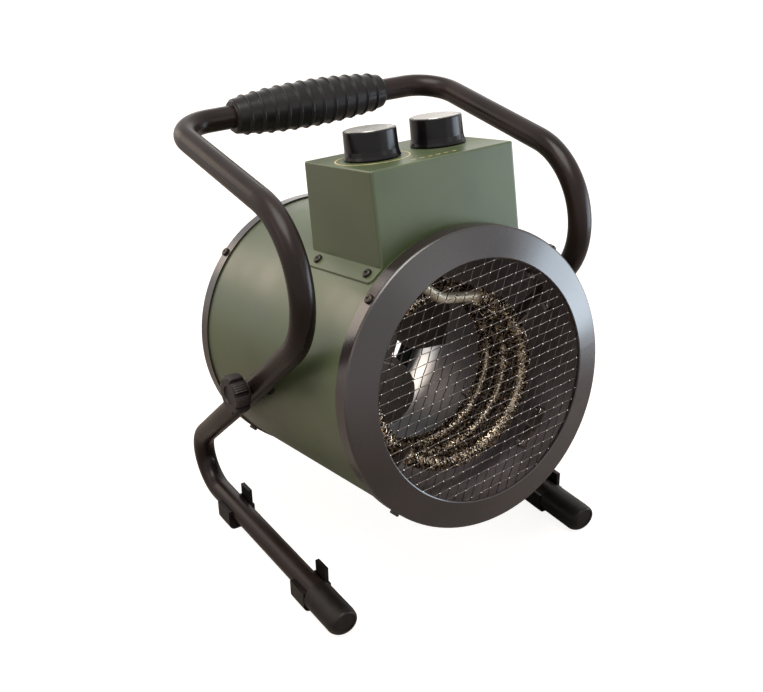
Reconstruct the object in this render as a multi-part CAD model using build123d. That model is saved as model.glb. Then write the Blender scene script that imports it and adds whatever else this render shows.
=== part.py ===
from build123d import *
import math
import os

os.makedirs("parts", exist_ok=True)

# A portable forced air heater.  A horizontal drum holds a mesh outlet, a finned
# heating coil, a fan and its motor, with the controls in a box on top.  The drum
# tilts between the arms of a bent tube that is foot, stand and handle in one.
# Sizes in mm.  X is across, the warm air leaves towards -Y, Z is up, and the
# origin lies on the floor under the tilt axis.

DRUM_R = 116.2                # outside radius of the drum, which everything fits

# ---------------------------------------------------------------- stand tube
TUBE_D = 19.0                 # outside diameter of the bent tube
TUBE_WALL = 1.5
TUBE_AXIS_Z = 16.0            # height of the foot tubes' axis above the floor
DRUM_LIFT = 55.3              # floor to the drum's underside, were it level
SIDE_GAP = 2.1                # between the drum's wall and the tube, for the washer
FOOT_LEAN = 4.8               # each foot stands this far inside its arm
PIVOT_Z = DRUM_R + DRUM_LIFT  # height of the tilt axis
SIDE_X = DRUM_R + SIDE_GAP + TUBE_D / 2   # half spacing of the arms' planes
FOOT_X = SIDE_X - FOOT_LEAN               # half spacing of the feet
FOOT_FRONT_Y = -117.5
REAR_CORNER_Y = 181.0         # where foot and leg would meet without their bend
FRONT_CORNER_Y = -166.0       # where leg and arm would meet without their bend
FRONT_CORNER_Z = 321.0
GRIP_Y = 120.0                # axis of the hand grip
GRIP_Z = 354.5
REAR_BEND_R = 30.0
FRONT_BEND_R = 62.0
TOP_BEND_R = 32.0
LEAN_BEND_R = 500.0           # slight bend where the legs start to lean in

# ---------------------------------------------------------------- hand grip
GRIP_LEN = 150.0
GRIP_END_D = 33.0
GRIP_MID_D = 40.5
GRIP_RIBS = 12
GRIP_RIB_H = 1.3              # how far each ring stands out of the swell
GRIP_RIB_W = 3.4

# ---------------------------------------------------------------- feet
BOOT_R = 13.0
BOOT_CAP = 4.0                # closed front wall of the boot
# Rounded nose: distance from the front face, radius, height of its top edge.
BOOT_NOSE = ((0.0, 8.6, 25.0), (1.2, 10.2, 25.8), (4.5, 12.0, 26.0), (9.0, 13.0, 26.0))
BOOT_DIMPLE = 0.4             # depth of the front face's shallow recess
BOOT_DIMPLE_RIM = 1.3
PAD_LEN = 22.0
PAD_Y = (-65.0, 70.0)
PAD_SIDE = 3.5                # rubber beside the tube
PAD_TAB_T = 3.5               # right-hand ear that stands up past the tube
PAD_TAB_LEN = 15.0
PAD_TAB_RISE = 6.5
PAD_EAR_RISE = 3.0            # left-hand ear's height above the tube's axis
PAD_ROUND = 6.0               # rounding under the ears

# ---------------------------------------------------------------- clamp knobs
BOLT_R = 4.0
BOLT_CLEARANCE = 0.1          # radial, in the tube
NUT_CLEARANCE = 0.05          # radial, in the threaded boss
CLAMP_R = 16.0
CLAMP_LEN = 12.5
CLAMP_HUB_R = 10.0
CLAMP_HUB_LEN = 2.6
CLAMP_LOBES = 8
CLAMP_FLUTE_R = 3.4
BOLT_REACH = 9.0              # how far the bolt goes in past the drum's wall
WASHER_R = 9.0
BOSS_R = 9.5
BOSS_LEN = 8.0
BOSS_FLANGE = 1.6

# ---------------------------------------------------------------- drum
TILT = 10.3                   # front raised, degrees
DRUM_WALL = 0.9
FRONT_Y = -126.0              # rim of the bezel, in the drum's own frame
REAR_Y = 128.5                # back of the rear ring
SHEET_GAP = 0.2               # between sheets that slide over each other
BEZEL_WALL = 1.6
BEZEL_SKIRT = 14.8
BEZEL_RISE = 6.1              # the mouth lies this far in front of the rim
BEZEL_LAP = 22.0              # the mouth's edge lies this far inside the drum's wall
BEZEL_OPEN_R = DRUM_R - BEZEL_LAP
BEZEL_ROUND = 3.0
BEZEL_LIP = 2.4
CASING_SETBACK = 4.0          # casing edge behind the rim and before the rear face
RING_WALL = 1.3
RING_SKIRT = 13.9
RING_LAP = 13.2               # width of the lip over the grille
RING_OPEN_R = DRUM_R - RING_LAP
RING_ROUND = 1.8

# ---------------------------------------------------------------- mesh
MESH_LAP = 4.8                # the mesh runs this far behind the mouth's edge
MESH_R = BEZEL_OPEN_R + MESH_LAP
MESH_T = 1.3
MESH_RIM = 2.6
MESH_WIRE = 1.5
MESH_PITCH_ROWS = 9.6
MESH_PITCH_DIAGONALS = 9.5
MESH_ROW_ANGLE = 5.35
MESH_DIAGONAL_ANGLE = 62.6
MESH_LEAST_GAP = 9.0          # smaller corners stay closed, mm2

# ---------------------------------------------------------------- rear grille
GRILLE_T = 1.2
GRILLE_SLOT_W = 8.0
GRILLE_WEB = 2.4
GRILLE_SPOKES = 8
GRILLE_SPOKE_W = 5.0
GRILLE_FIRST_R = 41.0
GRILLE_ROWS = 6

# ---------------------------------------------------------------- heat liner
LINER_GAP = 10.4              # air space round the liner
LINER_R = DRUM_R - LINER_GAP
LINER_WALL = 0.8
LINER_FRONT = -117.0
LINER_REAR = -12.0
STANDOFF_R = 4.0
STANDOFF_ANGLES = (20.0, 160.0, 200.0, 340.0)

# ---------------------------------------------------------------- heating coil
COIL_INSET = 36.6             # centre line's distance inside the liner
COIL_R = LINER_R - COIL_INSET # centre line radius
COIL_DROP = 9.0               # the coil hangs this far below the drum's axis
COIL_FRONT = -92.5
COIL_PITCH = 23.0
COIL_TURNS = 3
COIL_START = 66.0             # the coil starts and ends this high on each side
FIN_R = 6.5
ELEMENT_R = 4.2
RISER_X = 30.0
RISER_RISE = 14.8             # the cold ends stand this far out of the drum
RISER_TOP = DRUM_R + RISER_RISE
RISER_BEND_R = 15.0
START_SAG = 15.0              # the front cold end sets off this far below its tangent
START_SAG_R = 30.0
FERRULE_R = 7.5
FERRULE_FLANGE_R = 9.0
PIN_R = 1.8
PIN_LEN = 9.0

# ---------------------------------------------------------------- coil combs
COMB_ANGLES = (-44.4, -135.6, 24.0, 156.0)
COMB_T = 1.6
COMB_DEPTH = 13.0
COMB_CLEARANCE = 0.35
COMB_MARGIN = 9.0
STEM_W = 12.0
COMB_FOOT_W = 38.0
COMB_FOOT_SCREW = 15.5
SCREW_M4_R = 2.0
SCREW_HEAD_R = 3.7
SCREW_HEAD_H = 2.2

# ---------------------------------------------------------------- fan and motor
SHAFT_R = 4.0
BEARING_CLEARANCE = 0.05      # radial
FAN_TIP_GAP = 34.7            # blade tip to the drum's wall
FAN_R = DRUM_R - FAN_TIP_GAP
FAN_BLADES = 4
FAN_PITCH = 20.0              # degrees
FAN_CAMBER_R = 110.0          # radius of the blades' pressed curve
FAN_BLADE_T = 1.4
FAN_HUB_R = 17.0
FAN_HUB_LEN = 20.0
FAN_Y = 16.0                  # front face of the hub
FAN_TURN = 5.0                # rest angle
# Blade edges as (share of the fan's radius, degrees from the blade's middle line).
FAN_EDGE_LOW = ((0.14, -12.0), (0.30, -21.0), (0.48, -32.0), (0.69, -30.0), (1.12, -22.0))
FAN_EDGE_HIGH = ((0.14, 40.0), (0.30, 36.0), (0.61, 32.0), (0.85, 18.0), (0.99, 4.0), (1.08, -10.0))
MOTOR_R = 34.0
MOTOR_WALL = 1.6
MOTOR_FRONT = 58.0
MOTOR_LEN = 54.0
ROTOR_R = 19.0
AIR_GAP = 0.5
STATOR_LEN = 34.0
BEARING_R = 11.0
BEARING_LEN = 7.0
POST_R = 5.0
POST_CIRCLE = 24.0

# ---------------------------------------------------------------- control box
BOX_HALF_W = 63.6
BOX_FRONT = -106.7
BOX_REAR = -9.0               # back wall's top edge
BOX_REAR_LEAN = 4.0           # the back wall's foot runs out behind its top, degrees
BOX_RISE = 53.4               # box top above the drum's crown
BOX_TOP = DRUM_R + BOX_RISE
BOX_WALL = 1.2
BOX_ROUND = 2.2
FLANGE_T = 1.2
FLANGE_W = 10.8               # the flange reaches this far beyond the box's wall
FLANGE_OUT = BOX_HALF_W + FLANGE_W
FLANGE_REAR = -1.5
FLANGE_ROUND = 5.0
FLANGE_SCREW_OUT = 4.7        # screw's distance outside the box's wall
FLANGE_SCREW_X = BOX_HALF_W + FLANGE_SCREW_OUT
FLANGE_SCREW_Y = (-95.5, -22.5)

# ---------------------------------------------------------------- control knobs
KNOB_X = (-30.0, 30.0)        # thermostat, selector
KNOB_Y = -56.0
KNOB_POINTS = (-15.0, -40.0)  # where each pointer stands at rest, degrees above +X
KNOB_BASE_R = 21.8
KNOB_TOP_R = 20.2
KNOB_H = 22.0
KNOB_LIFT = 1.0
KNOB_WALL = 2.4
KNOB_ROUND = 0.9
DISC_R = 18.9
DISC_T = 1.2
DISC_PROUD = 0.4
NOTCH_LEN = 5.0               # notch in the disc for the pointer
NOTCH_W = 3.6
SPINDLE_R = 3.0
SPINDLE_CLEARANCE = 0.05      # radial, in the bush
SPINDLE_TUCK = 12.0           # spindle inside the switch
BUSH_R = 4.8
BUSH_RISE = 6.0
BUSH_NUT_R = 8.0
BUSH_NUT_T = 2.4
THERMOSTAT_R = 16.0
THERMOSTAT_H = 24.0
SWITCH_W = 32.0
SWITCH_H = 30.0

# ---------------------------------------------------------------- inlet and wiring
GLAND_X = 40.0
GLAND_DROP = 26.6             # below the box's top
GLAND_Z = BOX_TOP - GLAND_DROP
GLAND_R = 9.0
GLAND_BORE_R = 4.0
GLAND_OUT = 11.0
TERMINAL_LEN = 46.0
TERMINAL_D = 20.0
TERMINAL_H = 17.0
TERMINAL_X = -12.0
TERMINAL_Y = -44.0
WIRE_R = 1.3
CUTOUT_R = 8.0
CUTOUT_H = 7.0
CUTOUT_Y = -47.0


# ================================================================ helpers
def tilted(shape):
    """Put a shape from the drum's own frame, centred on the tilt axis, in place."""
    return Location((0, 0, PIVOT_Z)) * Rotation(-TILT, 0, 0) * shape


def spun(points):
    """Solid of revolution about the drum's axis from (radius, y) points."""
    profile = make_face(Plane.XY * Polyline(*[(r, y) for r, y in points], close=True))
    return revolve(profile, Axis.Y)


def ring(r_out, r_in, y0, y1):
    """Tube round the drum's axis between two stations."""
    return spun([(r_in, y0), (r_out, y0), (r_out, y1), (r_in, y1)])


def rod(start, end, radius):
    """Straight round bar between two points."""
    a = Vector(*start)
    b = Vector(*end)
    plane = Plane(origin=a, z_dir=b - a)
    return extrude(plane * Circle(radius), (b - a).length)


def box(x0, x1, y0, y1, z0, z1):
    """Box between three pairs of coordinates."""
    centre = Location(((x0 + x1) / 2, (y0 + y1) / 2, (z0 + z1) / 2))
    return centre * Box(x1 - x0, y1 - y0, z1 - z0)


def around(angle, shape):
    """Turn a shape made on the drum's +X side to an angle above +X."""
    return Rotation(0, -angle, 0) * shape


def bent(points, radii):
    """Wire of straight runs joined by arcs of the given radius at each inner point."""
    pts = [Vector(*p) for p in points]
    edges = []
    last = pts[0]
    for i in range(1, len(pts) - 1):
        before = (pts[i - 1] - pts[i]).normalized()
        after = (pts[i + 1] - pts[i]).normalized()
        half = math.acos(max(-1.0, min(1.0, before.dot(after)))) / 2
        reach = radii[i - 1] / math.tan(half)
        centre = pts[i] + (before + after).normalized() * (radii[i - 1] / math.sin(half))
        start = pts[i] + before * reach
        end = pts[i] + after * reach
        middle = centre + (pts[i] - centre).normalized() * radii[i - 1]
        edges.append(Edge.make_line(last, start))
        edges.append(Edge.make_three_point_arc(start, middle, end))
        last = end
    edges.append(Edge.make_line(last, pts[-1]))
    return Wire(edges)


def swept(path, radius):
    """Round bar along a wire."""
    section = Plane(origin=path @ 0, z_dir=path % 0) * Circle(radius)
    return sweep(section, path=path)


def biarc(p0, t0, p1, t1):
    """Two arcs that leave p0 along t0 and reach p1 along t1."""
    v = p1 - p0
    a = 2 * (1 - t0.dot(t1))
    b = 2 * v.dot(t0 + t1)
    c = -v.dot(v)
    d = (-b + math.sqrt(b * b - 4 * a * c)) / (2 * a)
    q0 = p0 + t0 * d
    q1 = p1 - t1 * d
    joint = (q0 + q1) * 0.5
    first = Edge.make_tangent_arc(p0, t0, joint)
    second = Edge.make_tangent_arc(joint, (q1 - q0).normalized(), p1)
    return [first, second]


def hexagon(radius, height):
    """Hexagonal nut blank standing on the XY plane."""
    return extrude(RegularPolygon(radius, 6), height)


def pan_screw(reach):
    """Screw pointing down -Z, with its domed head on the XY plane."""
    head = Cylinder(SCREW_HEAD_R, SCREW_HEAD_H, align=(Align.CENTER, Align.CENTER, Align.MIN))
    head = fillet(head.edges().sort_by(Axis.Z)[-1], SCREW_HEAD_H * 0.45)
    slot_depth = SCREW_HEAD_H * 0.5
    for turn in (0, 90):
        bar = Box(SCREW_HEAD_R * 1.1, 0.9, slot_depth * 2)
        head -= Location((0, 0, SCREW_HEAD_H)) * Rotation(0, 0, turn) * bar
    shank = Cylinder(SCREW_M4_R, reach, align=(Align.CENTER, Align.CENTER, Align.MAX))
    return head + shank


def radial_screw(angle, y, radius, reach, inward=True):
    """Pan screw whose head sits on a cylinder round the drum's axis."""
    turn = 90 if inward else -90
    screw = Location((radius, y, 0)) * Rotation(0, turn, 0) * pan_screw(reach)
    return around(angle, screw)


def save(shape, name):
    """Write one piece, or one group of like pieces."""
    solids = shape.solids() if hasattr(shape, "solids") else Compound(shape).solids()
    export_step(Compound(children=list(solids)), f"parts/{name}.step")
    print(name, len(solids))


# ================================================================ stand
pivot = (SIDE_X, 0, PIVOT_Z)
half_path = [
    (FOOT_X, FOOT_FRONT_Y, TUBE_AXIS_Z),
    (FOOT_X, REAR_CORNER_Y, TUBE_AXIS_Z),
    pivot,
    (SIDE_X, FRONT_CORNER_Y, FRONT_CORNER_Z),
    (SIDE_X, GRIP_Y, GRIP_Z),
]
other_half = [(-x, y, z) for x, y, z in reversed(half_path)]
bend_radii = [REAR_BEND_R, LEAN_BEND_R, FRONT_BEND_R, TOP_BEND_R]
stand_path = bent(half_path + other_half, bend_radii + bend_radii[::-1])
bore_r = TUBE_D / 2 - TUBE_WALL
stand = swept(stand_path, TUBE_D / 2) - swept(stand_path, bore_r)
bolt_hole = rod((-SIDE_X * 2, 0, PIVOT_Z), (SIDE_X * 2, 0, PIVOT_Z), BOLT_R + BOLT_CLEARANCE)
stand -= bolt_hole
save(stand, "stand_tube")

# Hand grip: ribbed plastic, fattest in the middle, moulded round the cross tube.
rib_pitch = GRIP_LEN / (GRIP_RIBS + 1)


def grip_radius(x):
    """Radius of the grip's swell at a distance from its middle."""
    share = 1 - (2 * x / GRIP_LEN) ** 2
    return GRIP_END_D / 2 + (GRIP_MID_D - GRIP_END_D) / 2 * share - GRIP_RIB_H


end_r = GRIP_END_D / 2
grip_profile = [(-GRIP_LEN / 2, 0), (-GRIP_LEN / 2, end_r - 1.2), (-GRIP_LEN / 2 + 1.2, end_r)]
grip_profile += [(-GRIP_LEN / 2 + 3.2, end_r), (-GRIP_LEN / 2 + 4.2, end_r - GRIP_RIB_H * 0.7)]
for i in range(1, GRIP_RIBS + 1):
    x = -GRIP_LEN / 2 + i * rib_pitch
    for share, rise in ((-0.5, 0.0), (-0.3, 0.75), (0.0, 1.0), (0.3, 0.75), (0.5, 0.0)):
        grip_profile.append((x + share * GRIP_RIB_W, grip_radius(x) + GRIP_RIB_H * rise))
    if i < GRIP_RIBS:
        grip_profile.append((x + rib_pitch / 2, grip_radius(x + rib_pitch / 2)))
grip_profile += [(GRIP_LEN / 2 - 4.2, end_r - GRIP_RIB_H * 0.7), (GRIP_LEN / 2 - 3.2, end_r)]
grip_profile += [(GRIP_LEN / 2 - 1.2, end_r), (GRIP_LEN / 2, end_r - 1.2), (GRIP_LEN / 2, 0)]
grip = revolve(make_face(Polyline(*grip_profile, close=True)), Axis.X)
grip -= rod((-GRIP_LEN, 0, 0), (GRIP_LEN, 0, 0), TUBE_D / 2)
save(Location((0, GRIP_Y, GRIP_Z)) * grip, "hand_grip")

# Rubber boots close the tube's front ends and rest on the floor.
boot_front_y = FOOT_FRONT_Y - BOOT_CAP
boot_back_y = PAD_Y[0] - PAD_LEN / 2 - SHEET_GAP
for side, name in ((-1, "foot_boot_left"), (1, "foot_boot_right")):
    x = side * FOOT_X
    sections = []
    for step, radius, top in BOOT_NOSE:
        section = Plane(origin=(x, boot_front_y + step, top - radius), x_dir=(1, 0, 0), z_dir=(0, -1, 0))
        sections.append(section * Circle(radius))
    nose_back = (x, boot_front_y + BOOT_NOSE[-1][0], BOOT_R)
    boot = loft(sections) + rod(nose_back, (x, boot_back_y, BOOT_R), BOOT_R)
    boot = chamfer(boot.edges().filter_by(GeomType.CIRCLE).sort_by(Axis.Y)[-1], 1.0)
    face_r, face_top = BOOT_NOSE[0][1:]
    face_z = face_top - face_r
    dimple_end = (x, boot_front_y + BOOT_DIMPLE, face_z)
    boot -= rod((x, boot_front_y - 1, face_z), dimple_end, face_r - BOOT_DIMPLE_RIM)
    boot -= rod((x, FOOT_FRONT_Y, TUBE_AXIS_Z), (x, boot_back_y + 5, TUBE_AXIS_Z), TUBE_D / 2)
    save(boot, name)

# Saddle pads clip on the feet, all the same way round: a low ear on the left
# of the tube and a taller one on its right.
pads = []
for side in (-1, 1):
    for y in PAD_Y:
        half = TUBE_D / 2 + PAD_SIDE
        block = box(-half, half, -PAD_LEN / 2, PAD_LEN / 2, 0, TUBE_AXIS_Z + PAD_EAR_RISE)
        block = fillet(block.edges().filter_by(Axis.Y).group_by(Axis.Z)[0], PAD_ROUND)
        tab_out = TUBE_D / 2 + PAD_TAB_T
        tab_top = TUBE_AXIS_Z + TUBE_D / 2 + PAD_TAB_RISE
        tab = box(TUBE_D / 2, tab_out, -PAD_TAB_LEN / 2, PAD_TAB_LEN / 2, TUBE_AXIS_Z, tab_top)
        pad = block + tab
        pad -= rod((0, -PAD_LEN, TUBE_AXIS_Z), (0, PAD_LEN, TUBE_AXIS_Z), TUBE_D / 2)
        pad -= box(-TUBE_D / 2, TUBE_D / 2, -PAD_LEN, PAD_LEN, TUBE_AXIS_Z, TUBE_AXIS_Z + TUBE_D)
        pads.append(Location((side * FOOT_X, y, 0)) * pad)
save(Compound(children=pads), "foot_pads")

# ================================================================ tilt pivots
tube_in = SIDE_X - TUBE_D / 2
tube_out = SIDE_X + TUBE_D / 2
casing_in_r = DRUM_R - DRUM_WALL
for side, name in ((-1, "left"), (1, "right")):
    grip_start = tube_out + CLAMP_HUB_LEN
    hub = rod((tube_out, 0, 0), (grip_start, 0, 0), CLAMP_HUB_R)
    head = rod((grip_start, 0, 0), (grip_start + CLAMP_LEN, 0, 0), CLAMP_R)
    rims = head.edges().filter_by(GeomType.CIRCLE).sort_by(Axis.X)
    head = fillet([rims[0], rims[-1]], 2.0)
    for i in range(CLAMP_LOBES):
        a = math.radians(360 / CLAMP_LOBES * (i + 0.5))
        y = math.cos(a) * (CLAMP_R + CLAMP_FLUTE_R * 0.45)
        z = math.sin(a) * (CLAMP_R + CLAMP_FLUTE_R * 0.45)
        head -= rod((grip_start - 1, y, z), (grip_start + CLAMP_LEN + 1, y, z), CLAMP_FLUTE_R)
    head -= rod((grip_start + CLAMP_LEN - 1.2, 0, 0), (grip_start + CLAMP_LEN + 1, 0, 0), CLAMP_R * 0.5)
    knob = hub + head
    bolt_end = grip_start + CLAMP_LEN * 0.6
    bolt = rod((casing_in_r - BOLT_REACH, 0, 0), (bolt_end, 0, 0), BOLT_R)
    knob -= bolt
    place = Location((0, 0, PIVOT_Z))
    if side < 0:
        knob = mirror(knob, Plane.YZ)
        bolt = mirror(bolt, Plane.YZ)
    save(place * knob, f"clamp_knob_{name}")
    save(place * bolt, f"clamp_bolt_{name}")

washers = []
bosses = []
for side in (-1, 1):
    washer = rod((DRUM_R - 6, 0, 0), (tube_in - SHEET_GAP, 0, 0), WASHER_R)
    washer -= ring(DRUM_R, 1, -50, 50)
    washer -= rod((0, 0, 0), (SIDE_X, 0, 0), BOLT_R + BOLT_CLEARANCE)
    boss = rod((casing_in_r - BOSS_LEN, 0, 0), (casing_in_r + 2, 0, 0), BOSS_R)
    boss += rod((casing_in_r - BOSS_FLANGE - 1.0, 0, 0), (casing_in_r + 2, 0, 0), BOSS_R + 5)
    boss &= ring(casing_in_r, 60, -50, 50)
    boss -= rod((0, 0, 0), (SIDE_X, 0, 0), BOLT_R + NUT_CLEARANCE)
    if side < 0:
        washer = mirror(washer, Plane.YZ)
        boss = mirror(boss, Plane.YZ)
    washers.append(tilted(washer))
    bosses.append(tilted(boss))
save(Compound(children=washers), "pivot_washers")
save(Compound(children=bosses), "pivot_bosses")

# ================================================================ coil route
# One tube: a smooth end comes down from the control box, runs into the finned
# turns and goes back up.  Each quarter turn is two arcs.
coil_z = -COIL_DROP
sweep_angle = 360 * COIL_TURNS - 2 * (90 - COIL_START)
rise_per_rad = COIL_PITCH / (2 * math.pi)


def coil_point(turned):
    """Point on the coil's centre line after turning clockwise from its start."""
    a = math.radians(COIL_START - turned)
    y = COIL_FRONT + COIL_PITCH * turned / 360
    return Vector(COIL_R * math.cos(a), y, coil_z + COIL_R * math.sin(a))


def coil_dir(turned):
    """Direction of the centre line there."""
    a = math.radians(COIL_START - turned)
    return Vector(COIL_R * math.sin(a), rise_per_rad, -COIL_R * math.cos(a)).normalized()


quarters = math.ceil(sweep_angle / 90)
stations = [sweep_angle * i / quarters for i in range(quarters + 1)]
coil_edges = []
for a, b in zip(stations[:-1], stations[1:]):
    coil_edges += biarc(coil_point(a), coil_dir(a), coil_point(b), coil_dir(b))
coil_path = Wire(coil_edges)


def cold_end(point, outward, x, sag=0.0):
    """Wire from the coil's end towards its riser, then up to the terminals."""
    run = (x - point.X) / outward.X
    corner = point + outward * run
    top = Vector(x, corner.Y, RISER_TOP)
    if sag == 0:
        return bent([tuple(point), tuple(corner), tuple(top)], [RISER_BEND_R])
    low = point + outward * (run * 0.62) - Vector(0, 0, sag)
    return bent([tuple(point), tuple(low), tuple(corner), tuple(top)], [START_SAG_R, RISER_BEND_R])


start_end = cold_end(coil_point(0), coil_dir(0) * -1, -RISER_X, START_SAG)
final_end = cold_end(coil_point(sweep_angle), coil_dir(sweep_angle), RISER_X)
riser_points = (start_end @ 1, final_end @ 1)

# ================================================================ drum shell
casing_front = FRONT_Y + CASING_SETBACK
casing_rear = REAR_Y - CASING_SETBACK
liner_in_r = LINER_R - LINER_WALL
casing = ring(DRUM_R, casing_in_r, casing_front, casing_rear)
casing -= rod((-DRUM_R - 5, 0, 0), (DRUM_R + 5, 0, 0), BOLT_R + BOLT_CLEARANCE)
for top in riser_points:
    casing -= rod((top.X, top.Y, 0), (top.X, top.Y, RISER_TOP), FERRULE_R)
wire_slot = box(-9, 9, BOX_REAR - 12, BOX_REAR - 4, 0, BOX_TOP)
casing -= wire_slot
bezel_screw_y = FRONT_Y + BEZEL_SKIRT * 0.5
ring_screw_y = REAR_Y - RING_SKIRT * 0.45
for angle in (45, 135, 225, 315):
    for y in (bezel_screw_y, ring_screw_y):
        casing -= around(angle, rod((DRUM_R - 5, y, 0), (DRUM_R + 5, y, 0), SCREW_M4_R))
for sx in (-1, 1):
    angle = math.degrees(math.acos(sx * FLANGE_SCREW_X / DRUM_R))
    for y in FLANGE_SCREW_Y:
        casing -= around(angle, rod((DRUM_R - 5, y, 0), (DRUM_R + 5, y, 0), SCREW_M4_R))
save(tilted(casing), "drum_casing")

# Front bezel: a skirt over the casing and a shallow cone out to the mouth.
skirt_in = DRUM_R + SHEET_GAP
bezel_r = skirt_in + BEZEL_WALL
mouth_y = FRONT_Y - BEZEL_RISE
slope = math.atan2(BEZEL_RISE, bezel_r - BEZEL_OPEN_R)
bezel_points = [(bezel_r, FRONT_Y + BEZEL_SKIRT), (bezel_r, FRONT_Y + BEZEL_ROUND)]
for i in range(1, 6):
    a = i / 6 * (math.pi / 2 - slope)
    bezel_points.append((
        bezel_r - BEZEL_ROUND + BEZEL_ROUND * math.cos(a),
        FRONT_Y + BEZEL_ROUND - BEZEL_ROUND * math.sin(a),
    ))
bezel_points += [
    (BEZEL_OPEN_R + 0.8, mouth_y + 0.1),
    (BEZEL_OPEN_R, mouth_y + 0.7),
    (BEZEL_OPEN_R, mouth_y + BEZEL_LIP),
    (BEZEL_OPEN_R + BEZEL_WALL * 0.6, mouth_y + BEZEL_LIP),
    (BEZEL_OPEN_R + BEZEL_WALL * 0.6, mouth_y + BEZEL_WALL),
    (skirt_in - BEZEL_ROUND * 0.4, FRONT_Y + BEZEL_WALL),
    (skirt_in, FRONT_Y + BEZEL_WALL + BEZEL_ROUND * 0.4),
    (skirt_in, FRONT_Y + BEZEL_SKIRT),
]
bezel = spun(bezel_points)
for angle in (45, 135, 225, 315):
    bezel -= around(angle, rod((DRUM_R, bezel_screw_y, 0), (bezel_r + 5, bezel_screw_y, 0), SCREW_M4_R))
save(tilted(bezel), "front_bezel")

# Rear ring: a skirt over the casing and a flat lip over the grille.
ring_in = DRUM_R + SHEET_GAP
ring_r = ring_in + RING_WALL
ring_points = [
    (ring_r, REAR_Y - RING_SKIRT),
    (ring_r, REAR_Y - RING_ROUND),
    (ring_r - RING_ROUND * 0.3, REAR_Y - RING_ROUND * 0.3),
    (ring_r - RING_ROUND, REAR_Y),
    (RING_OPEN_R, REAR_Y),
    (RING_OPEN_R, REAR_Y - RING_WALL),
    (ring_in, REAR_Y - RING_WALL),
    (ring_in, REAR_Y - RING_SKIRT),
]
rear_ring = spun(ring_points)
for angle in (45, 135, 225, 315):
    rear_ring -= around(angle, rod((DRUM_R, ring_screw_y, 0), (ring_r + 5, ring_screw_y, 0), SCREW_M4_R))
save(tilted(rear_ring), "rear_ring")

bezel_screws = []
ring_screws = []
for angle in (45, 135, 225, 315):
    reach_in = BEZEL_WALL + SHEET_GAP + DRUM_WALL + 2.5
    bezel_screws.append(tilted(radial_screw(angle, bezel_screw_y, bezel_r, reach_in)))
    reach_in = RING_WALL + SHEET_GAP + DRUM_WALL + 2.5
    ring_screws.append(tilted(radial_screw(angle, ring_screw_y, ring_r, reach_in)))
save(Compound(children=bezel_screws), "bezel_screws")
save(Compound(children=ring_screws), "rear_ring_screws")

# ================================================================ outlet mesh
# Two sets of parallel wires cross at a slant.  Each gap is a parallelogram, and
# the gaps at the rim are trimmed by its inner edge.
face_in_r = BEZEL_OPEN_R + BEZEL_WALL * 0.6
cone_rise = BEZEL_RISE / (skirt_in - BEZEL_ROUND * 0.4 - face_in_r)
mesh_y = mouth_y + BEZEL_WALL + (MESH_R - face_in_r) * cone_rise + SHEET_GAP / 2
row_dir = Vector(math.cos(math.radians(MESH_ROW_ANGLE)), math.sin(math.radians(MESH_ROW_ANGLE)))
dia_dir = Vector(math.cos(math.radians(MESH_DIAGONAL_ANGLE)), math.sin(math.radians(MESH_DIAGONAL_ANGLE)))
cross = abs(row_dir.X * dia_dir.Y - row_dir.Y * dia_dir.X)
step_row = row_dir * (MESH_PITCH_DIAGONALS / cross)
step_dia = dia_dir * (MESH_PITCH_ROWS / cross)
gap_row = row_dir * ((MESH_PITCH_DIAGONALS - MESH_WIRE) / cross)
gap_dia = dia_dir * ((MESH_PITCH_ROWS - MESH_WIRE) / cross)
clear_r = MESH_R - MESH_RIM
reach = int(MESH_R * 2 / MESH_PITCH_ROWS)
disc = make_face(CenterArc((0, 0), clear_r, 0, 360))
gap_wires = []
for i in range(-reach, reach + 1):
    for j in range(-reach, reach + 1):
        centre = step_row * i + step_dia * j
        corners = [
            centre + gap_row * (0.5 * a) + gap_dia * (0.5 * b)
            for a, b in ((-1, -1), (1, -1), (1, 1), (-1, 1))
        ]
        far = max(c.length for c in corners)
        near = min(c.length for c in corners)
        if near >= clear_r and centre.length > clear_r:
            continue
        gap = make_face(Polyline(*[(c.X, c.Y) for c in corners], close=True))
        if far < clear_r:
            gap_wires.append(gap.outer_wire() if hasattr(gap, "outer_wire") else gap.faces()[0].outer_wire())
            continue
        trimmed = gap & disc
        if trimmed is None:
            continue
        for face in trimmed.faces():
            if face.area > MESH_LEAST_GAP:
                gap_wires.append(face.outer_wire())
print("mesh gaps", len(gap_wires))
rim_wire = Wire([Edge.make_circle(MESH_R)])
mesh_face = Face(rim_wire, gap_wires)
mesh = extrude(mesh_face, MESH_T, dir=(0, 0, 1))
mesh = Location((0, mesh_y + MESH_T, 0)) * Rotation(90, 0, 0) * mesh
save(tilted(mesh), "outlet_mesh")

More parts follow.
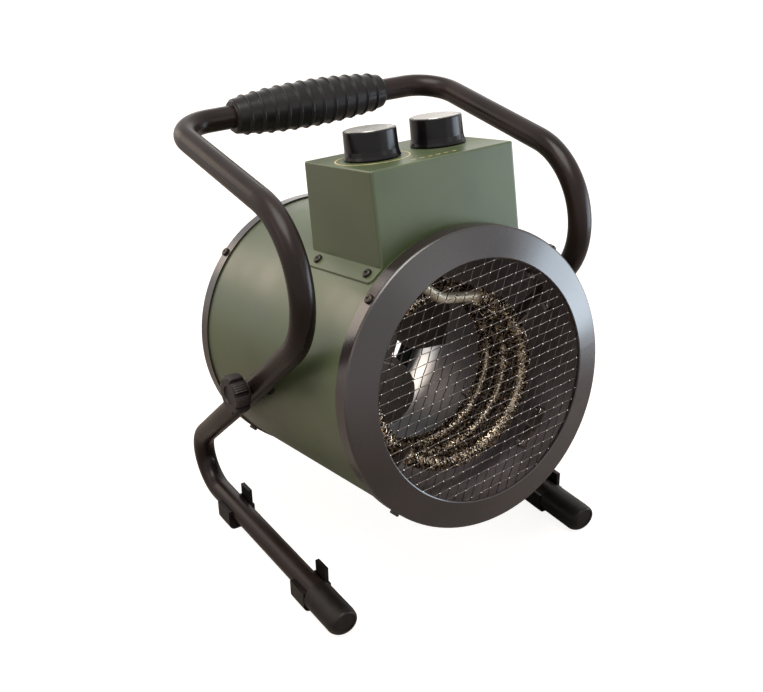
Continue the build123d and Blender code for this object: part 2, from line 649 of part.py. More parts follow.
# ================================================================ rear grille
grille_y = REAR_Y - RING_WALL - GRILLE_T
grille = ring(casing_in_r - SHEET_GAP, 6.0, grille_y, grille_y + GRILLE_T)
slots = []
for row in range(GRILLE_ROWS):
    r_in = GRILLE_FIRST_R + row * (GRILLE_SLOT_W + GRILLE_WEB)
    slots.append(ring(r_in + GRILLE_SLOT_W, r_in, grille_y - 1, grille_y + GRILLE_T + 1))
spokes = None
for i in range(GRILLE_SPOKES // 2):
    a = 360 / GRILLE_SPOKES * (i + 0.5)
    half = GRILLE_SPOKE_W / 2
    bar = box(-DRUM_R, DRUM_R, grille_y - 2, grille_y + GRILLE_T + 2, -half, half)
    bar = around(a, bar)
    spokes = bar if spokes is None else spokes + bar
for slot in slots:
    grille -= slot - spokes
post_angles = (45, 135, 225, 315)
for a in post_angles:
    x = POST_CIRCLE * math.cos(math.radians(a))
    z = POST_CIRCLE * math.sin(math.radians(a))
    grille -= rod((x, grille_y - 1, z), (x, grille_y + GRILLE_T + 1, z), SCREW_M4_R)
save(tilted(grille), "rear_grille")

# ================================================================ heat liner
liner = ring(LINER_R, liner_in_r, LINER_FRONT, LINER_REAR)
for top in riser_points:
    liner -= rod((top.X, top.Y, 0), (top.X, top.Y, RISER_TOP), FERRULE_R + 1)
standoffs = []
for a in STANDOFF_ANGLES:
    for y in (LINER_FRONT + 12, LINER_REAR - 12):
        post = around(a, rod((LINER_R - 5, y, 0), (DRUM_R + 5, y, 0), STANDOFF_R))
        standoffs.append(tilted(post & ring(casing_in_r, LINER_R, y - 20, y + 20)))
save(Compound(children=standoffs), "liner_standoffs")

# ================================================================ heating coil
element = swept(coil_path, FIN_R) + swept(start_end, ELEMENT_R) + swept(final_end, ELEMENT_R)
save(tilted(element), "heating_coil")
samples = [coil_point(sweep_angle * i / 720) for i in range(721)]
least = min(
    (samples[i] - samples[j]).length
    for i in range(0, 721, 4)
    for j in range(i + 60, 721)
)
print("coil's least gap to itself", round(least - 2 * FIN_R, 2), "mm")

ferrules = []
pins = []
nuts = []
for top in riser_points:
    x, y = top.X, top.Y
    tube_hole = rod((x, y, 0), (x, y, RISER_TOP + 5), ELEMENT_R)
    seat_z = math.sqrt(DRUM_R ** 2 - (abs(x) - FERRULE_FLANGE_R) ** 2)
    sleeve = rod((x, y, seat_z - 16), (x, y, RISER_TOP - 1.5), FERRULE_R - SHEET_GAP)
    flange = rod((x, y, seat_z - 12), (x, y, seat_z + 2.5), FERRULE_FLANGE_R)
    flange -= ring(DRUM_R, 1, y - FERRULE_FLANGE_R * 2, y + FERRULE_FLANGE_R * 2)
    ferrules.append(tilted(sleeve + flange - tube_hole))
    pins.append(tilted(rod((x, y, RISER_TOP), (x, y, RISER_TOP + PIN_LEN), PIN_R)))
    nut = hexagon(3.9, 2.6) - Cylinder(PIN_R, 20)
    nuts.append(tilted(Location((x, y, RISER_TOP + PIN_LEN - 4.5)) * nut))
save(Compound(children=ferrules), "coil_ferrules")
save(Compound(children=pins), "terminal_pins")
save(Compound(children=nuts), "terminal_nuts")

# Combs hold the turns: a notched blade, a stem and a foot on the liner.
combs = []
comb_screws = []
foot_y = COIL_FRONT + 4.0
for foot_angle in COMB_ANGLES:
    fx = liner_in_r * math.cos(math.radians(foot_angle))
    fz = liner_in_r * math.sin(math.radians(foot_angle))
    turn = math.degrees(math.atan2(fz - coil_z, fx))
    reach = math.hypot(fx, fz - coil_z)
    first = (COIL_START - turn) % 360
    turned = [first + 360 * k for k in range(COIL_TURNS) if first + 360 * k < sweep_angle]
    y_first = coil_point(turned[0]).Y - COMB_MARGIN
    y_last = coil_point(turned[-1]).Y + COMB_MARGIN
    y_first = min(y_first, foot_y - STEM_W / 2)
    blade_out = COIL_R + COMB_DEPTH / 2 + 6
    blade = box(COIL_R - COMB_DEPTH / 2, blade_out, y_first, y_last, -COMB_T / 2, COMB_T / 2)
    stem_front = foot_y - STEM_W / 2
    stem_rear = foot_y + STEM_W / 2
    stem = box(COIL_R + COMB_DEPTH / 2, reach + 3, stem_front, stem_rear, -COMB_T / 2, COMB_T / 2)
    notch_r = FIN_R + COMB_CLEARANCE
    comb = blade + stem
    for t in turned:
        y = coil_point(t).Y
        comb -= rod((COIL_R, y, -5), (COIL_R, y, 5), notch_r)
        comb -= box(COIL_R - COMB_DEPTH, COIL_R, y - notch_r, y + notch_r, -5, 5)
    comb = Location((0, 0, coil_z)) * around(turn, comb)
    half = COMB_FOOT_W / 2
    foot = box(liner_in_r - 8, liner_in_r + 3, stem_front, stem_rear, -half, half)
    foot &= ring(liner_in_r, liner_in_r - COMB_T, foot_y - 20, foot_y + 20)
    comb = (comb & ring(liner_in_r, 1, y_first - 5, y_last + 5)) + around(foot_angle, foot)
    for s in (-1, 1):
        a = foot_angle + s * math.degrees(COMB_FOOT_SCREW / liner_in_r)
        hole = around(a, rod((liner_in_r - 5, foot_y, 0), (LINER_R + 5, foot_y, 0), SCREW_M4_R))
        comb -= hole
        liner -= hole
        head_seat = liner_in_r - COMB_T - SHEET_GAP / 2
        comb_screws.append(tilted(radial_screw(a, foot_y, head_seat, 6.0, inward=False)))
    combs.append(tilted(comb))
save(tilted(liner), "heat_liner")
save(Compound(children=combs), "coil_combs")
save(Compound(children=comb_screws), "comb_screws")

# ================================================================ motor
motor_rear = MOTOR_FRONT + MOTOR_LEN
shell = ring(MOTOR_R, MOTOR_R - MOTOR_WALL, MOTOR_FRONT, motor_rear)
shell += ring(MOTOR_R, BEARING_R, MOTOR_FRONT, MOTOR_FRONT + MOTOR_WALL)
shell += ring(BEARING_R + 2, BEARING_R, MOTOR_FRONT, MOTOR_FRONT + BEARING_LEN)
shell_edges = shell.edges().filter_by(GeomType.CIRCLE).group_by(Axis.Y)[0]
shell = fillet([e for e in shell_edges if abs(e.radius - MOTOR_R) < 0.01], MOTOR_WALL * 0.9)
for i in range(12):
    vent = box(MOTOR_R - 5, MOTOR_R + 5, MOTOR_FRONT + 12, MOTOR_FRONT + 24, -2.5, 2.5)
    shell -= around(i * 30, vent)
save(tilted(shell), "motor_shell")
cap = ring(MOTOR_R - MOTOR_WALL, BEARING_R, motor_rear - 3.0, motor_rear)
cap += ring(BEARING_R + 2, BEARING_R, motor_rear - BEARING_LEN, motor_rear)
for a in post_angles:
    x = POST_CIRCLE * math.cos(math.radians(a))
    z = POST_CIRCLE * math.sin(math.radians(a))
    cap -= rod((x, motor_rear - 5, z), (x, motor_rear + 5, z), SCREW_M4_R)
save(tilted(cap), "motor_end_cap")
stator_mid = MOTOR_FRONT + MOTOR_LEN / 2
stator_y0 = stator_mid - STATOR_LEN / 2
stator_y1 = stator_mid + STATOR_LEN / 2
stator = ring(MOTOR_R - MOTOR_WALL, ROTOR_R + AIR_GAP, stator_y0, stator_y1)
save(tilted(stator), "motor_stator")
bearings = []
for y in (MOTOR_FRONT, motor_rear - BEARING_LEN):
    bearings.append(tilted(ring(BEARING_R, SHAFT_R + BEARING_CLEARANCE, y, y + BEARING_LEN)))
save(Compound(children=bearings), "motor_bearings")
posts = []
motor_screws = []
for a in post_angles:
    x = POST_CIRCLE * math.cos(math.radians(a))
    z = POST_CIRCLE * math.sin(math.radians(a))
    post = rod((x, motor_rear, z), (x, grille_y, z), POST_R)
    post -= rod((x, motor_rear - 1, z), (x, grille_y + 1, z), SCREW_M4_R)
    posts.append(tilted(post))
    screw = pan_screw(GRILLE_T + grille_y - motor_rear + 4)
    screw = Location((x, grille_y + GRILLE_T, z)) * Rotation(-90, 0, 0) * screw
    motor_screws.append(tilted(screw))
save(Compound(children=posts), "motor_posts")
save(Compound(children=motor_screws), "motor_screws")

# ================================================================ fan
shaft_front = FAN_Y - 9.0
shaft = rod((0, shaft_front, 0), (0, motor_rear - 0.5, 0), SHAFT_R)
save(tilted(shaft), "fan_shaft")
rotor = ring(ROTOR_R, SHAFT_R, stator_y0, stator_y1)
save(tilted(rotor), "motor_rotor")
collar = ring(9.0, SHAFT_R, MOTOR_FRONT - 6.0, MOTOR_FRONT - 1.0)
save(tilted(collar), "shaft_collar")
hub = ring(FAN_HUB_R, SHAFT_R, FAN_Y, FAN_Y + FAN_HUB_LEN)
hub = chamfer(hub.edges().filter_by(GeomType.CIRCLE).sort_by(Axis.Y)[0], 1.0)


def blade_edge(points):
    """One curved edge of a blade that lies along +X."""
    places = []
    for share, degrees in points:
        a = math.radians(degrees)
        places.append((FAN_R * share * math.cos(a), FAN_R * share * math.sin(a)))
    return Spline(*places)


edge_low = blade_edge(FAN_EDGE_LOW)
edge_high = blade_edge(FAN_EDGE_HIGH)
root_line = Line(edge_low @ 0, edge_high @ 0)
tip_line = Line(edge_low @ 1, edge_high @ 1)
blade = extrude(make_face([edge_low, tip_line, edge_high, root_line]), FAN_R / 4, both=True)
camber_in = rod((0, 0, FAN_CAMBER_R), (FAN_R * 2, 0, FAN_CAMBER_R), FAN_CAMBER_R)
camber_out = rod((0, 0, FAN_CAMBER_R), (FAN_R * 2, 0, FAN_CAMBER_R), FAN_CAMBER_R + FAN_BLADE_T)
blade &= camber_out - camber_in
blade = Location((0, FAN_Y + FAN_HUB_LEN / 2, 0)) * Rotation(90 + FAN_PITCH, 0, 0) * blade
blade &= ring(FAN_R, SHAFT_R + 2, FAN_Y - 60, FAN_Y + 80)
fan = hub
for i in range(FAN_BLADES):
    fan += around(FAN_TURN + 360 / FAN_BLADES * i, blade)
save(tilted(fan), "fan_impeller")
fan_nut = Location((0, FAN_Y, 0)) * Rotation(90, 0, 0) * (hexagon(8.0, 6.0) - Cylinder(SHAFT_R, 30))
save(tilted(fan_nut), "fan_nut")

# ================================================================ control box
lean = math.tan(math.radians(BOX_REAR_LEAN))


def box_rear(z):
    """Where the back wall's outside stands at a height above the drum's axis."""
    return BOX_REAR + (BOX_TOP - z) * lean


def hood_block(half_width, front, inset, top):
    """Solid with the box's upright front and leaning back."""
    side = Plane.YZ * Polyline(
        (front, 0), (box_rear(0) - inset, 0), (box_rear(top) - inset, top), (front, top), close=True,
    )
    return extrude(make_face(side), half_width, both=True)


hood = hood_block(BOX_HALF_W, BOX_FRONT, 0, BOX_TOP)
corners = [e for e in hood.edges() if abs((e % 0.5).X) < 0.01 and abs((e % 0.5).Z) > 0.9]
hood = fillet(corners, BOX_ROUND)
hood = fillet(hood.faces().sort_by(Axis.Z)[-1].edges(), BOX_ROUND * 0.7)
inner_w = BOX_HALF_W - BOX_WALL
hood -= hood_block(inner_w, BOX_FRONT + BOX_WALL, BOX_WALL, BOX_TOP - BOX_WALL)
seat_r = DRUM_R + SHEET_GAP
hood -= rod((0, BOX_FRONT - 20, 0), (0, BOX_REAR + 20, 0), seat_r)
flange_shell = ring(seat_r + FLANGE_T, seat_r, BOX_FRONT, FLANGE_REAR)
for sx in (-1, 1):
    x_in = sx * inner_w
    x_out = sx * FLANGE_OUT
    prism = box(min(x_in, x_out), max(x_in, x_out), BOX_FRONT, FLANGE_REAR, 0, BOX_TOP)
    outer = prism.edges().filter_by(Axis.Z).sort_by(Axis.X)
    outer = outer[-2:] if sx > 0 else outer[:2]
    prism = fillet(outer, FLANGE_ROUND)
    flange = prism & flange_shell
    hood += flange
    angle = math.degrees(math.acos(sx * FLANGE_SCREW_X / DRUM_R))
    for y in FLANGE_SCREW_Y:
        hood -= around(angle, rod((DRUM_R, y, 0), (DRUM_R + 8, y, 0), SCREW_M4_R))
for x in KNOB_X:
    hood -= Location((x, KNOB_Y, BOX_TOP)) * Cylinder(BUSH_R + SHEET_GAP, 20)
gland_seat = Location((GLAND_X, box_rear(GLAND_Z), GLAND_Z)) * Rotation(BOX_REAR_LEAN, 0, 0)
hood -= gland_seat * rod((0, -5, 0), (0, 5, 0), GLAND_R - 3 + SHEET_GAP)
save(tilted(hood), "control_box")
box_screws = []
for sx in (-1, 1):
    angle = math.degrees(math.acos(sx * FLANGE_SCREW_X / DRUM_R))
    for y in FLANGE_SCREW_Y:
        reach_in = FLANGE_T + SHEET_GAP + DRUM_WALL + 2.5
        box_screws.append(tilted(radial_screw(angle, y, seat_r + FLANGE_T, reach_in)))
save(Compound(children=box_screws), "box_screws")

# Control knobs, each on a spindle that turns in the bush of its switch.
ceiling = BOX_TOP - BOX_WALL
knob_low = BOX_TOP + KNOB_LIFT
knob_top = BOX_TOP + KNOB_H
knob_names = ("thermostat", "selector")
for x, points, name in zip(KNOB_X, KNOB_POINTS, knob_names):
    outline = [
        (0, knob_low), (KNOB_BASE_R, knob_low), (KNOB_BASE_R, knob_low + 0.5),
        (KNOB_TOP_R + 0.9, knob_low + 2.5), (KNOB_TOP_R + 0.3, knob_low + 6.0),
        (KNOB_TOP_R, knob_top), (0, knob_top),
    ]
    body = revolve(make_face(Plane.XZ * Polyline(*outline, close=True)), Axis.Z)
    rim = body.edges().filter_by(GeomType.CIRCLE).sort_by(Axis.Z)[-1]
    body = fillet(rim, KNOB_ROUND)
    cavity_top = knob_top - 5.0
    upright = (Align.CENTER, Align.CENTER, Align.MIN)
    cavity = Cylinder(KNOB_TOP_R - KNOB_WALL, cavity_top - knob_low, align=upright)
    body -= Location((0, 0, knob_low)) * cavity
    boss_low = BOX_TOP + BUSH_RISE + 0.8
    body += rod((0, 0, boss_low), (0, 0, cavity_top + 0.5), SPINDLE_R + 2.6)
    spindle_top = knob_top - 3.5
    spindle = rod((0, 0, ceiling - SPINDLE_TUCK), (0, 0, spindle_top), SPINDLE_R)
    body -= spindle
    recess = rod((0, 0, knob_top - DISC_T + DISC_PROUD), (0, 0, knob_top + 5), DISC_R)
    body -= recess
    disc_low = knob_top - DISC_T + DISC_PROUD
    plate = rod((0, 0, disc_low), (0, 0, disc_low + DISC_T), DISC_R)
    plate = chamfer(plate.edges().filter_by(GeomType.CIRCLE).sort_by(Axis.Z)[-1], 0.3)
    plate -= box(DISC_R - NOTCH_LEN, DISC_R + 1, -NOTCH_W / 2, NOTCH_W / 2, disc_low - 1, disc_low + 5)
    place = Location((x, KNOB_Y, 0))
    save(tilted(place * body), f"{name}_knob")
    save(tilted(place * Rotation(0, 0, points) * plate), f"{name}_disc")
    save(tilted(place * spindle), f"{name}_spindle")
    if name == "thermostat":
        case = rod((0, 0, ceiling - THERMOSTAT_H), (0, 0, ceiling), THERMOSTAT_R)
        depth = THERMOSTAT_H
    else:
        half = SWITCH_W / 2
        case = box(-half, half, -half, half, ceiling - SWITCH_H, ceiling)
        case = fillet(case.edges().filter_by(Axis.Z), 2.0)
        depth = SWITCH_H
    case += rod((0, 0, ceiling - 1), (0, 0, BOX_TOP + BUSH_RISE), BUSH_R)
    case -= rod((0, 0, ceiling - SPINDLE_TUCK - 0.3), (0, 0, knob_top), SPINDLE_R + SPINDLE_CLEARANCE)
    for s in (-1, 1):
        case += box(s * 8 - 0.4, s * 8 + 0.4, -3.1, 3.1, ceiling - depth - 8, ceiling - depth + 1)
    save(tilted(place * case), f"{name}_switch")
bush_nuts = []
for x in KNOB_X:
    nut = hexagon(BUSH_NUT_R, BUSH_NUT_T) - Cylinder(BUSH_R, 20)
    bush_nuts.append(tilted(Location((x, KNOB_Y, BOX_TOP)) * nut))
save(Compound(children=bush_nuts), "bush_nuts")

# Cable gland in the back wall, with its lock nut inside.
gland = rod((0, 0, 0), (0, GLAND_OUT, 0), GLAND_R)
gland = fillet(gland.edges().filter_by(GeomType.CIRCLE).sort_by(Axis.Y)[-1], 2.5)
gland += rod((0, -9, 0), (0, 1, 0), GLAND_R - 3)
gland -= rod((0, -20, 0), (0, 20, 0), GLAND_BORE_R)
gland = gland_seat * gland
save(tilted(gland), "cable_gland")
lock = hexagon(GLAND_R, 3.0) - Cylinder(GLAND_R - 3, 20)
lock = gland_seat * Location((0, -BOX_WALL, 0)) * Rotation(90, 0, 0) * lock
save(tilted(lock), "gland_nut")

# Terminal block on the casing's crown.
block_top = DRUM_R + TERMINAL_H
block = box(
    TERMINAL_X - TERMINAL_LEN / 2, TERMINAL_X + TERMINAL_LEN / 2,
    TERMINAL_Y - TERMINAL_D / 2, TERMINAL_Y + TERMINAL_D / 2,
    DRUM_R - TERMINAL_D, block_top,
)
block -= ring(DRUM_R, 1, TERMINAL_Y - TERMINAL_D, TERMINAL_Y + TERMINAL_D)
poles = 4
for i in range(poles):
    x = TERMINAL_X + (i - (poles - 1) / 2) * TERMINAL_LEN / poles
    block -= rod((x, TERMINAL_Y, block_top - 6), (x, TERMINAL_Y, block_top + 1), 2.6)
save(tilted(block), "terminal_block")

# Thermal cut-out, flat on the casing beside the terminal block.
cutout = rod((0, CUTOUT_Y, DRUM_R - 3), (0, CUTOUT_Y, DRUM_R + CUTOUT_H), CUTOUT_R)
cutout -= ring(DRUM_R, 1, CUTOUT_Y - CUTOUT_R * 2, CUTOUT_Y + CUTOUT_R * 2)
for s in (-1, 1):
    blade_low = DRUM_R + CUTOUT_H - 1
    cutout += box(s * 4 - 0.4, s * 4 + 0.4, CUTOUT_Y - 2.5, CUTOUT_Y + 2.5, blade_low, blade_low + 7)
save(tilted(around(-14, cutout)), "thermal_cutout")
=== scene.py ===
# %% [markdown]
# # A forced air heater, dressed for the camera
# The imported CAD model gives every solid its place, and this notebook gives the
# solids their finish.  What is too fine for the solids is made here: the woven
# wire of the outlet, the fins of the heating coil, the rings of the grip and the
# flutes of the clamp knobs, which stand in for plainer solids, and the print on
# the control box and its white pointers, which are added.

# %% Load the frame
import math

import bmesh
import bpy
from mathutils import Matrix, Vector


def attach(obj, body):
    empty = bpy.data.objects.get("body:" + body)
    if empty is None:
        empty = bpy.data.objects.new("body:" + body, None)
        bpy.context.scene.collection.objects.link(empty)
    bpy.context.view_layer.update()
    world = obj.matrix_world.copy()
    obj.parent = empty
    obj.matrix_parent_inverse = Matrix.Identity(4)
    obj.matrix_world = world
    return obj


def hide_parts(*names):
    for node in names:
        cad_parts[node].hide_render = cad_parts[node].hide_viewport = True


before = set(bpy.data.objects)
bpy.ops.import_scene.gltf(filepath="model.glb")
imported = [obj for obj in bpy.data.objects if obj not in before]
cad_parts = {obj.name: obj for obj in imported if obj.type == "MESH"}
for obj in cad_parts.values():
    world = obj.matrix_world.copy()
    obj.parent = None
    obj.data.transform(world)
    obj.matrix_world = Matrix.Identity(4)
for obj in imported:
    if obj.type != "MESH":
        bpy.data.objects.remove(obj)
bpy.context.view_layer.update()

scene = bpy.context.scene

# %% [markdown]
# ## The drum's own frame
# The drum, the control box and all that is in them are drawn level, round the
# drum's axis, in millimetres, and then tilted with the outlet up about the pivot.
# One matrix does the tilt and the change to metres, so a new piece can be made
# in the same plain coordinates as the solids.

# %% Helpers for places
MM = 0.001
PIVOT_Z = 171.5
TILT = 10.3
MILLIMETRES = Matrix.Scale(MM, 4)
DRUM = MILLIMETRES @ Matrix.Translation((0, 0, PIVOT_Z)) @ Matrix.Rotation(math.radians(-TILT), 4, "X")
print("drum axis points to", (DRUM.to_3x3() @ Vector((0, -1, 0))).normalized()[:])


def keep(name, mesh, body, place=DRUM, instead_of=()):
    """Put a mesh made in millimetres in place and let it ride on its body."""
    mesh.transform(place)
    piece = bpy.data.objects.new(name, mesh)
    scene.collection.objects.link(piece)
    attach(piece, body)
    if instead_of:
        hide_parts(*instead_of)
    print(name, len(mesh.polygons), "faces on", body)


# %% [markdown]
# ## Camera
# The viewpoint was solved from the photograph: the round rims, the box's corners
# and the two feet fix where the camera stood and how long its lens was.  The
# camera looks down a little from the left of the outlet.

# %% Place the camera
camera_data = bpy.data.cameras.new("studio_camera")
camera_data.sensor_fit = "HORIZONTAL"
camera_data.sensor_width = 36.0
camera_data.lens = 53.43
camera_data.clip_start = 0.05
camera = bpy.data.objects.new("studio_camera", camera_data)
scene.collection.objects.link(camera)
right = Vector((0.8389, -0.5441, -0.0150)).normalized()
back = Vector((-0.4795, -0.7517, 0.4528)).normalized()
up = back.cross(right).normalized()
right = up.cross(back)
place = Matrix((right, up, back)).transposed().to_4x4()
place.translation = (-0.4672, -0.7182, 0.6067)
camera.matrix_world = place
scene.camera = camera
scene.view_settings.view_transform = "Standard"
print("lens", camera_data.lens, "mm at", place.translation[:])

# %% [markdown]
# ## Colours and nodes
# Every colour below is written as it looks on a screen, in sRGB.  Shaders work in
# linear light, so one function converts the hex value.  A second function adds a
# node of any kind with its settings, values and links, for shaders and geometry
# alike.

# %% Helpers for nodes


def linear(hex_value):
    """Linear RGBA of an sRGB hex colour."""
    parts = [int(hex_value[i:i + 2], 16) / 255 for i in (1, 3, 5)]
    return tuple(p / 12.92 if p <= 0.04045 else ((p + 0.055) / 1.055) ** 2.4 for p in parts) + (1.0,)


def add(tree, kind, inputs=None, **settings):
    """Add a node; a socket, or a node's first one, given as a value is linked to it."""
    node = tree.nodes.new(kind)
    for key, value in settings.items():
        setattr(node, key, value)
    for key, value in (inputs or {}).items():
        if isinstance(value, bpy.types.Node):
            value = value.outputs[0]
        if isinstance(value, bpy.types.NodeSocket):
            tree.links.new(value, node.inputs[key])
        else:
            node.inputs[key].default_value = value
    return node


# %% [markdown]
# ## Floor, backdrop and light
# The photograph stands on plain white with only a breath of shadow.  The floor is
# a pale warm sheet that takes the shadow.  It glows white for the camera, and
# further out also for whatever mirrors it, so that the gloss of the drum's
# underside stays as dark as the floor close by.  The world is white where the
# camera, a gloss or a clear body looks at it, and much dimmer as a light.  A wide
# box overhead does most of the work.  Two warm ones, at the left and low behind,
# model the drum, a weak cool one stands in front, and a cool one low on the right
# is what the bezel shows as its blue sheen.  The last one stands low behind on
# the right, where the box's top and the discs of its knobs mirror it.

# %% Floor and world
# Lengths in metres, as in the frame.
FLOOR_HALF = 9
FLOOR_DROP = 0.0004
FLOOR_GLOW = 0.90
GLOW_FROM = 0.4
GLOW_FULL = 2.4
WORLD_LIGHT = 0.30
floor_mesh = bpy.data.meshes.new("floor")
corners = [(FLOOR_HALF * x, FLOOR_HALF * y, -FLOOR_DROP) for x, y in ((-1, -1), (1, -1), (1, 1), (-1, 1))]
floor_mesh.from_pydata(corners, [], [(0, 1, 2, 3)])
floor = bpy.data.objects.new("floor", floor_mesh)
scene.collection.objects.link(floor)

floor_paper = bpy.data.materials.new("white_paper_floor")
floor_paper.use_nodes = True
tree = floor_paper.node_tree
tree.nodes.clear()
rays = add(tree, "ShaderNodeLightPath").outputs
sheet = add(tree, "ShaderNodeBsdfDiffuse", {"Color": linear("#a59b94")})
here = add(tree, "ShaderNodeTexCoord").outputs["Object"]
from_heater = add(tree, "ShaderNodeVectorMath", {0: here}, operation="LENGTH").outputs["Value"]
swept_white = add(
    tree, "ShaderNodeMapRange", {"Value": from_heater, "From Min": GLOW_FROM, "From Max": GLOW_FULL},
    interpolation_type="SMOOTHSTEP",
)
mirrored = add(
    tree, "ShaderNodeMath", {0: rays["Is Glossy Ray"], 1: rays["Is Transmission Ray"]}, operation="MAXIMUM",
)
mirrored = add(tree, "ShaderNodeMath", {0: mirrored, 1: swept_white}, operation="MULTIPLY")
watched = add(tree, "ShaderNodeMath", {0: rays["Is Camera Ray"], 1: mirrored}, operation="MAXIMUM")
glow_share = add(tree, "ShaderNodeMath", {0: watched, 1: FLOOR_GLOW}, operation="MULTIPLY")
glow = add(tree, "ShaderNodeEmission", {"Color": linear("#fffefd"), "Strength": glow_share})
both = add(tree, "ShaderNodeAddShader", {0: sheet, 1: glow})
add(tree, "ShaderNodeOutputMaterial", {"Surface": both})
floor_mesh.materials.append(floor_paper)

world = bpy.data.worlds.new("white_studio")
scene.world = world
world.use_nodes = True
tree = world.node_tree
tree.nodes.clear()
rays = add(tree, "ShaderNodeLightPath").outputs
seen = add(tree, "ShaderNodeMath", {0: rays["Is Camera Ray"], 1: rays["Is Glossy Ray"]}, operation="MAXIMUM")
seen = add(tree, "ShaderNodeMath", {0: seen, 1: rays["Is Transmission Ray"]}, operation="MAXIMUM")
level = add(tree, "ShaderNodeMapRange", {"Value": seen, "To Min": WORLD_LIGHT, "To Max": 1.0})
sky = add(tree, "ShaderNodeBackground", {"Color": (1, 1, 1, 1), "Strength": level})
add(tree, "ShaderNodeOutputWorld", {"Surface": sky})

# %% Lamps


def soft_box(name, place, target, size, watts, tint):
    """A square area lamp aimed at a point."""
    data = bpy.data.lights.new(name, "AREA")
    data.shape = "SQUARE"
    data.size = size
    data.energy = watts
    data.color = tint
    lamp = bpy.data.objects.new(name, data)
    lamp.location = place
    lamp.rotation_euler = (Vector(target) - Vector(place)).to_track_quat("-Z", "Y").to_euler()
    lamp.visible_camera = False
    scene.collection.objects.link(lamp)


soft_box("overhead_box", (-0.4, -0.3, 1.9), (0, 0, 0.2), 1.2, 39, (1.0, 0.97, 0.90))
soft_box("left_box", (-1.9, 0.2, 1.2), (0, 0, 0.2), 0.9, 5, (1.0, 0.78, 0.62))
soft_box("back_left_box", (-0.85, 1.9, 0.95), (0, 0.10, 0.2), 1.0, 9, (1.0, 0.80, 0.64))
soft_box("front_box", (0.9, -2.2, 1.0), (0, 0, 0.2), 1.0, 3, (0.97, 0.99, 1.0))
soft_box("right_box", (0.90, -0.53, 0.12), (0.09, -0.12, 0.20), 0.68, 11, (0.74, 0.87, 1.0))
soft_box("back_right_box", (0.80, 1.38, 0.62), (0, -0.05, 0.34), 0.8, 1.4, (1.0, 0.93, 0.82))

# %% [markdown]
# ## Finishes
# Most surfaces here are thin coats, moulded plastics or plain metals.  What tells
# them apart is the same short list: two near colours that drift into each other
# over some centimetres, a grain that breaks the gloss, and how shiny they are.
# One function builds that, each finish gives it its own real sizes in millimetres,
# and the finishes that need more add their own nodes to it.

# %% The common surface
COLOUR_DRIFT = (0.35, 0.65)
WEAR_DRIFT = (0.3, 0.7)


def surface(name, dark, light, metallic, rough, grain, bump, patch=60.0, spread=0.08, gloss=0.5):
    """Material of two colours that drift; grain, bump and patch are in millimetres."""
    made = bpy.data.materials.new(name)
    made.use_nodes = True
    tree = made.node_tree
    tree.nodes.clear()
    coords = add(tree, "ShaderNodeTexCoord").outputs["Object"]
    drift = add(tree, "ShaderNodeTexNoise", {"Vector": coords, "Scale": 1 / (patch * MM), "Detail": 4.0})
    fine = add(tree, "ShaderNodeTexNoise", {"Vector": coords, "Scale": 1 / (grain * MM), "Detail": 2.0})
    share = add(
        tree, "ShaderNodeMapRange",
        {"Value": drift, "From Min": COLOUR_DRIFT[0], "From Max": COLOUR_DRIFT[1]},
    )
    paint = add(tree, "ShaderNodeMix", {0: share, 6: linear(dark), 7: linear(light)}, data_type="RGBA")
    wear = add(
        tree, "ShaderNodeMapRange",
        {
            "Value": drift, "From Min": WEAR_DRIFT[0], "From Max": WEAR_DRIFT[1],
            "To Min": rough - spread, "To Max": rough + spread,
        },
    )
    relief = add(tree, "ShaderNodeBump", {"Height": fine, "Distance": bump * MM, "Strength": 1.0})
    shader = add(
        tree, "ShaderNodeBsdfPrincipled",
        {
            "Base Color": paint.outputs[2], "Metallic": metallic, "Roughness": wear,
            "Specular IOR Level": gloss, "Normal": relief,
        },
    )
    add(tree, "ShaderNodeOutputMaterial", {"Surface": shader})
    return made


def part_of(made, kind):
    """The first node of a kind in a material that surface() built."""
    return next(n for n in made.node_tree.nodes if n.bl_idname == kind)


# %% [markdown]
# ### Paints and plastics
# The bent tube is powder coated in a brown black: the powder melts into a skin
# with a faint orange peel about a millimetre across, and it is satin, not glossy.
# The bezel and rear ring wear a charcoal satin enamel, and the drum and the box a
# bottle green one.  The grip is moulded soft plastic, the clamp knobs are glass
# filled nylon, which is duller and a little rough, and the feet are rubber.

# %% Paints and plastics
tube_coat = surface("brown_black_powder_coat", "#1c1412", "#241a18", 0.0, 0.30, 1.1, 0.008, gloss=0.18)
charcoal_enamel = surface(
    "charcoal_satin_enamel", "#211a1a", "#282021", 0.0, 0.27, 0.9, 0.006, gloss=0.7, spread=0.05,
)
green_enamel = surface("bottle_green_satin_enamel", "#424c33", "#495439", 0.0, 0.38, 0.9, 0.006, gloss=0.55)
grip_plastic = surface(
    "moulded_soft_grip_plastic", "#161313", "#1d1a1a", 0.0, 0.32, 0.5, 0.010, patch=25.0, gloss=0.2,
)
clamp_nylon = surface(
    "glass_filled_nylon", "#1a1413", "#251d1c", 0.0, 0.45, 0.7, 0.020, patch=12.0, gloss=0.3,
)
foot_rubber = surface(
    "moulded_foot_rubber", "#120e0d", "#1a1615", 0.0, 0.42, 0.6, 0.012, patch=14.0, gloss=0.2,
)
knob_phenolic = surface(
    "satin_black_phenolic", "#0d0a0c", "#120f11", 0.0, 0.24, 2.0, 0.003, patch=20.0, spread=0.03, gloss=0.22,
)
switch_phenolic = surface("matte_switch_phenolic", "#1c1b1a", "#272523", 0.0, 0.5, 0.6, 0.01, patch=15.0)
gland_nylon = surface("moulded_gland_nylon", "#141414", "#1e1d1c", 0.0, 0.42, 0.6, 0.010, patch=12.0)
block_porcelain = surface(
    "unglazed_white_porcelain", "#d8d3c6", "#e6e2d8", 0.0, 0.5, 0.5, 0.010, patch=10.0,
)
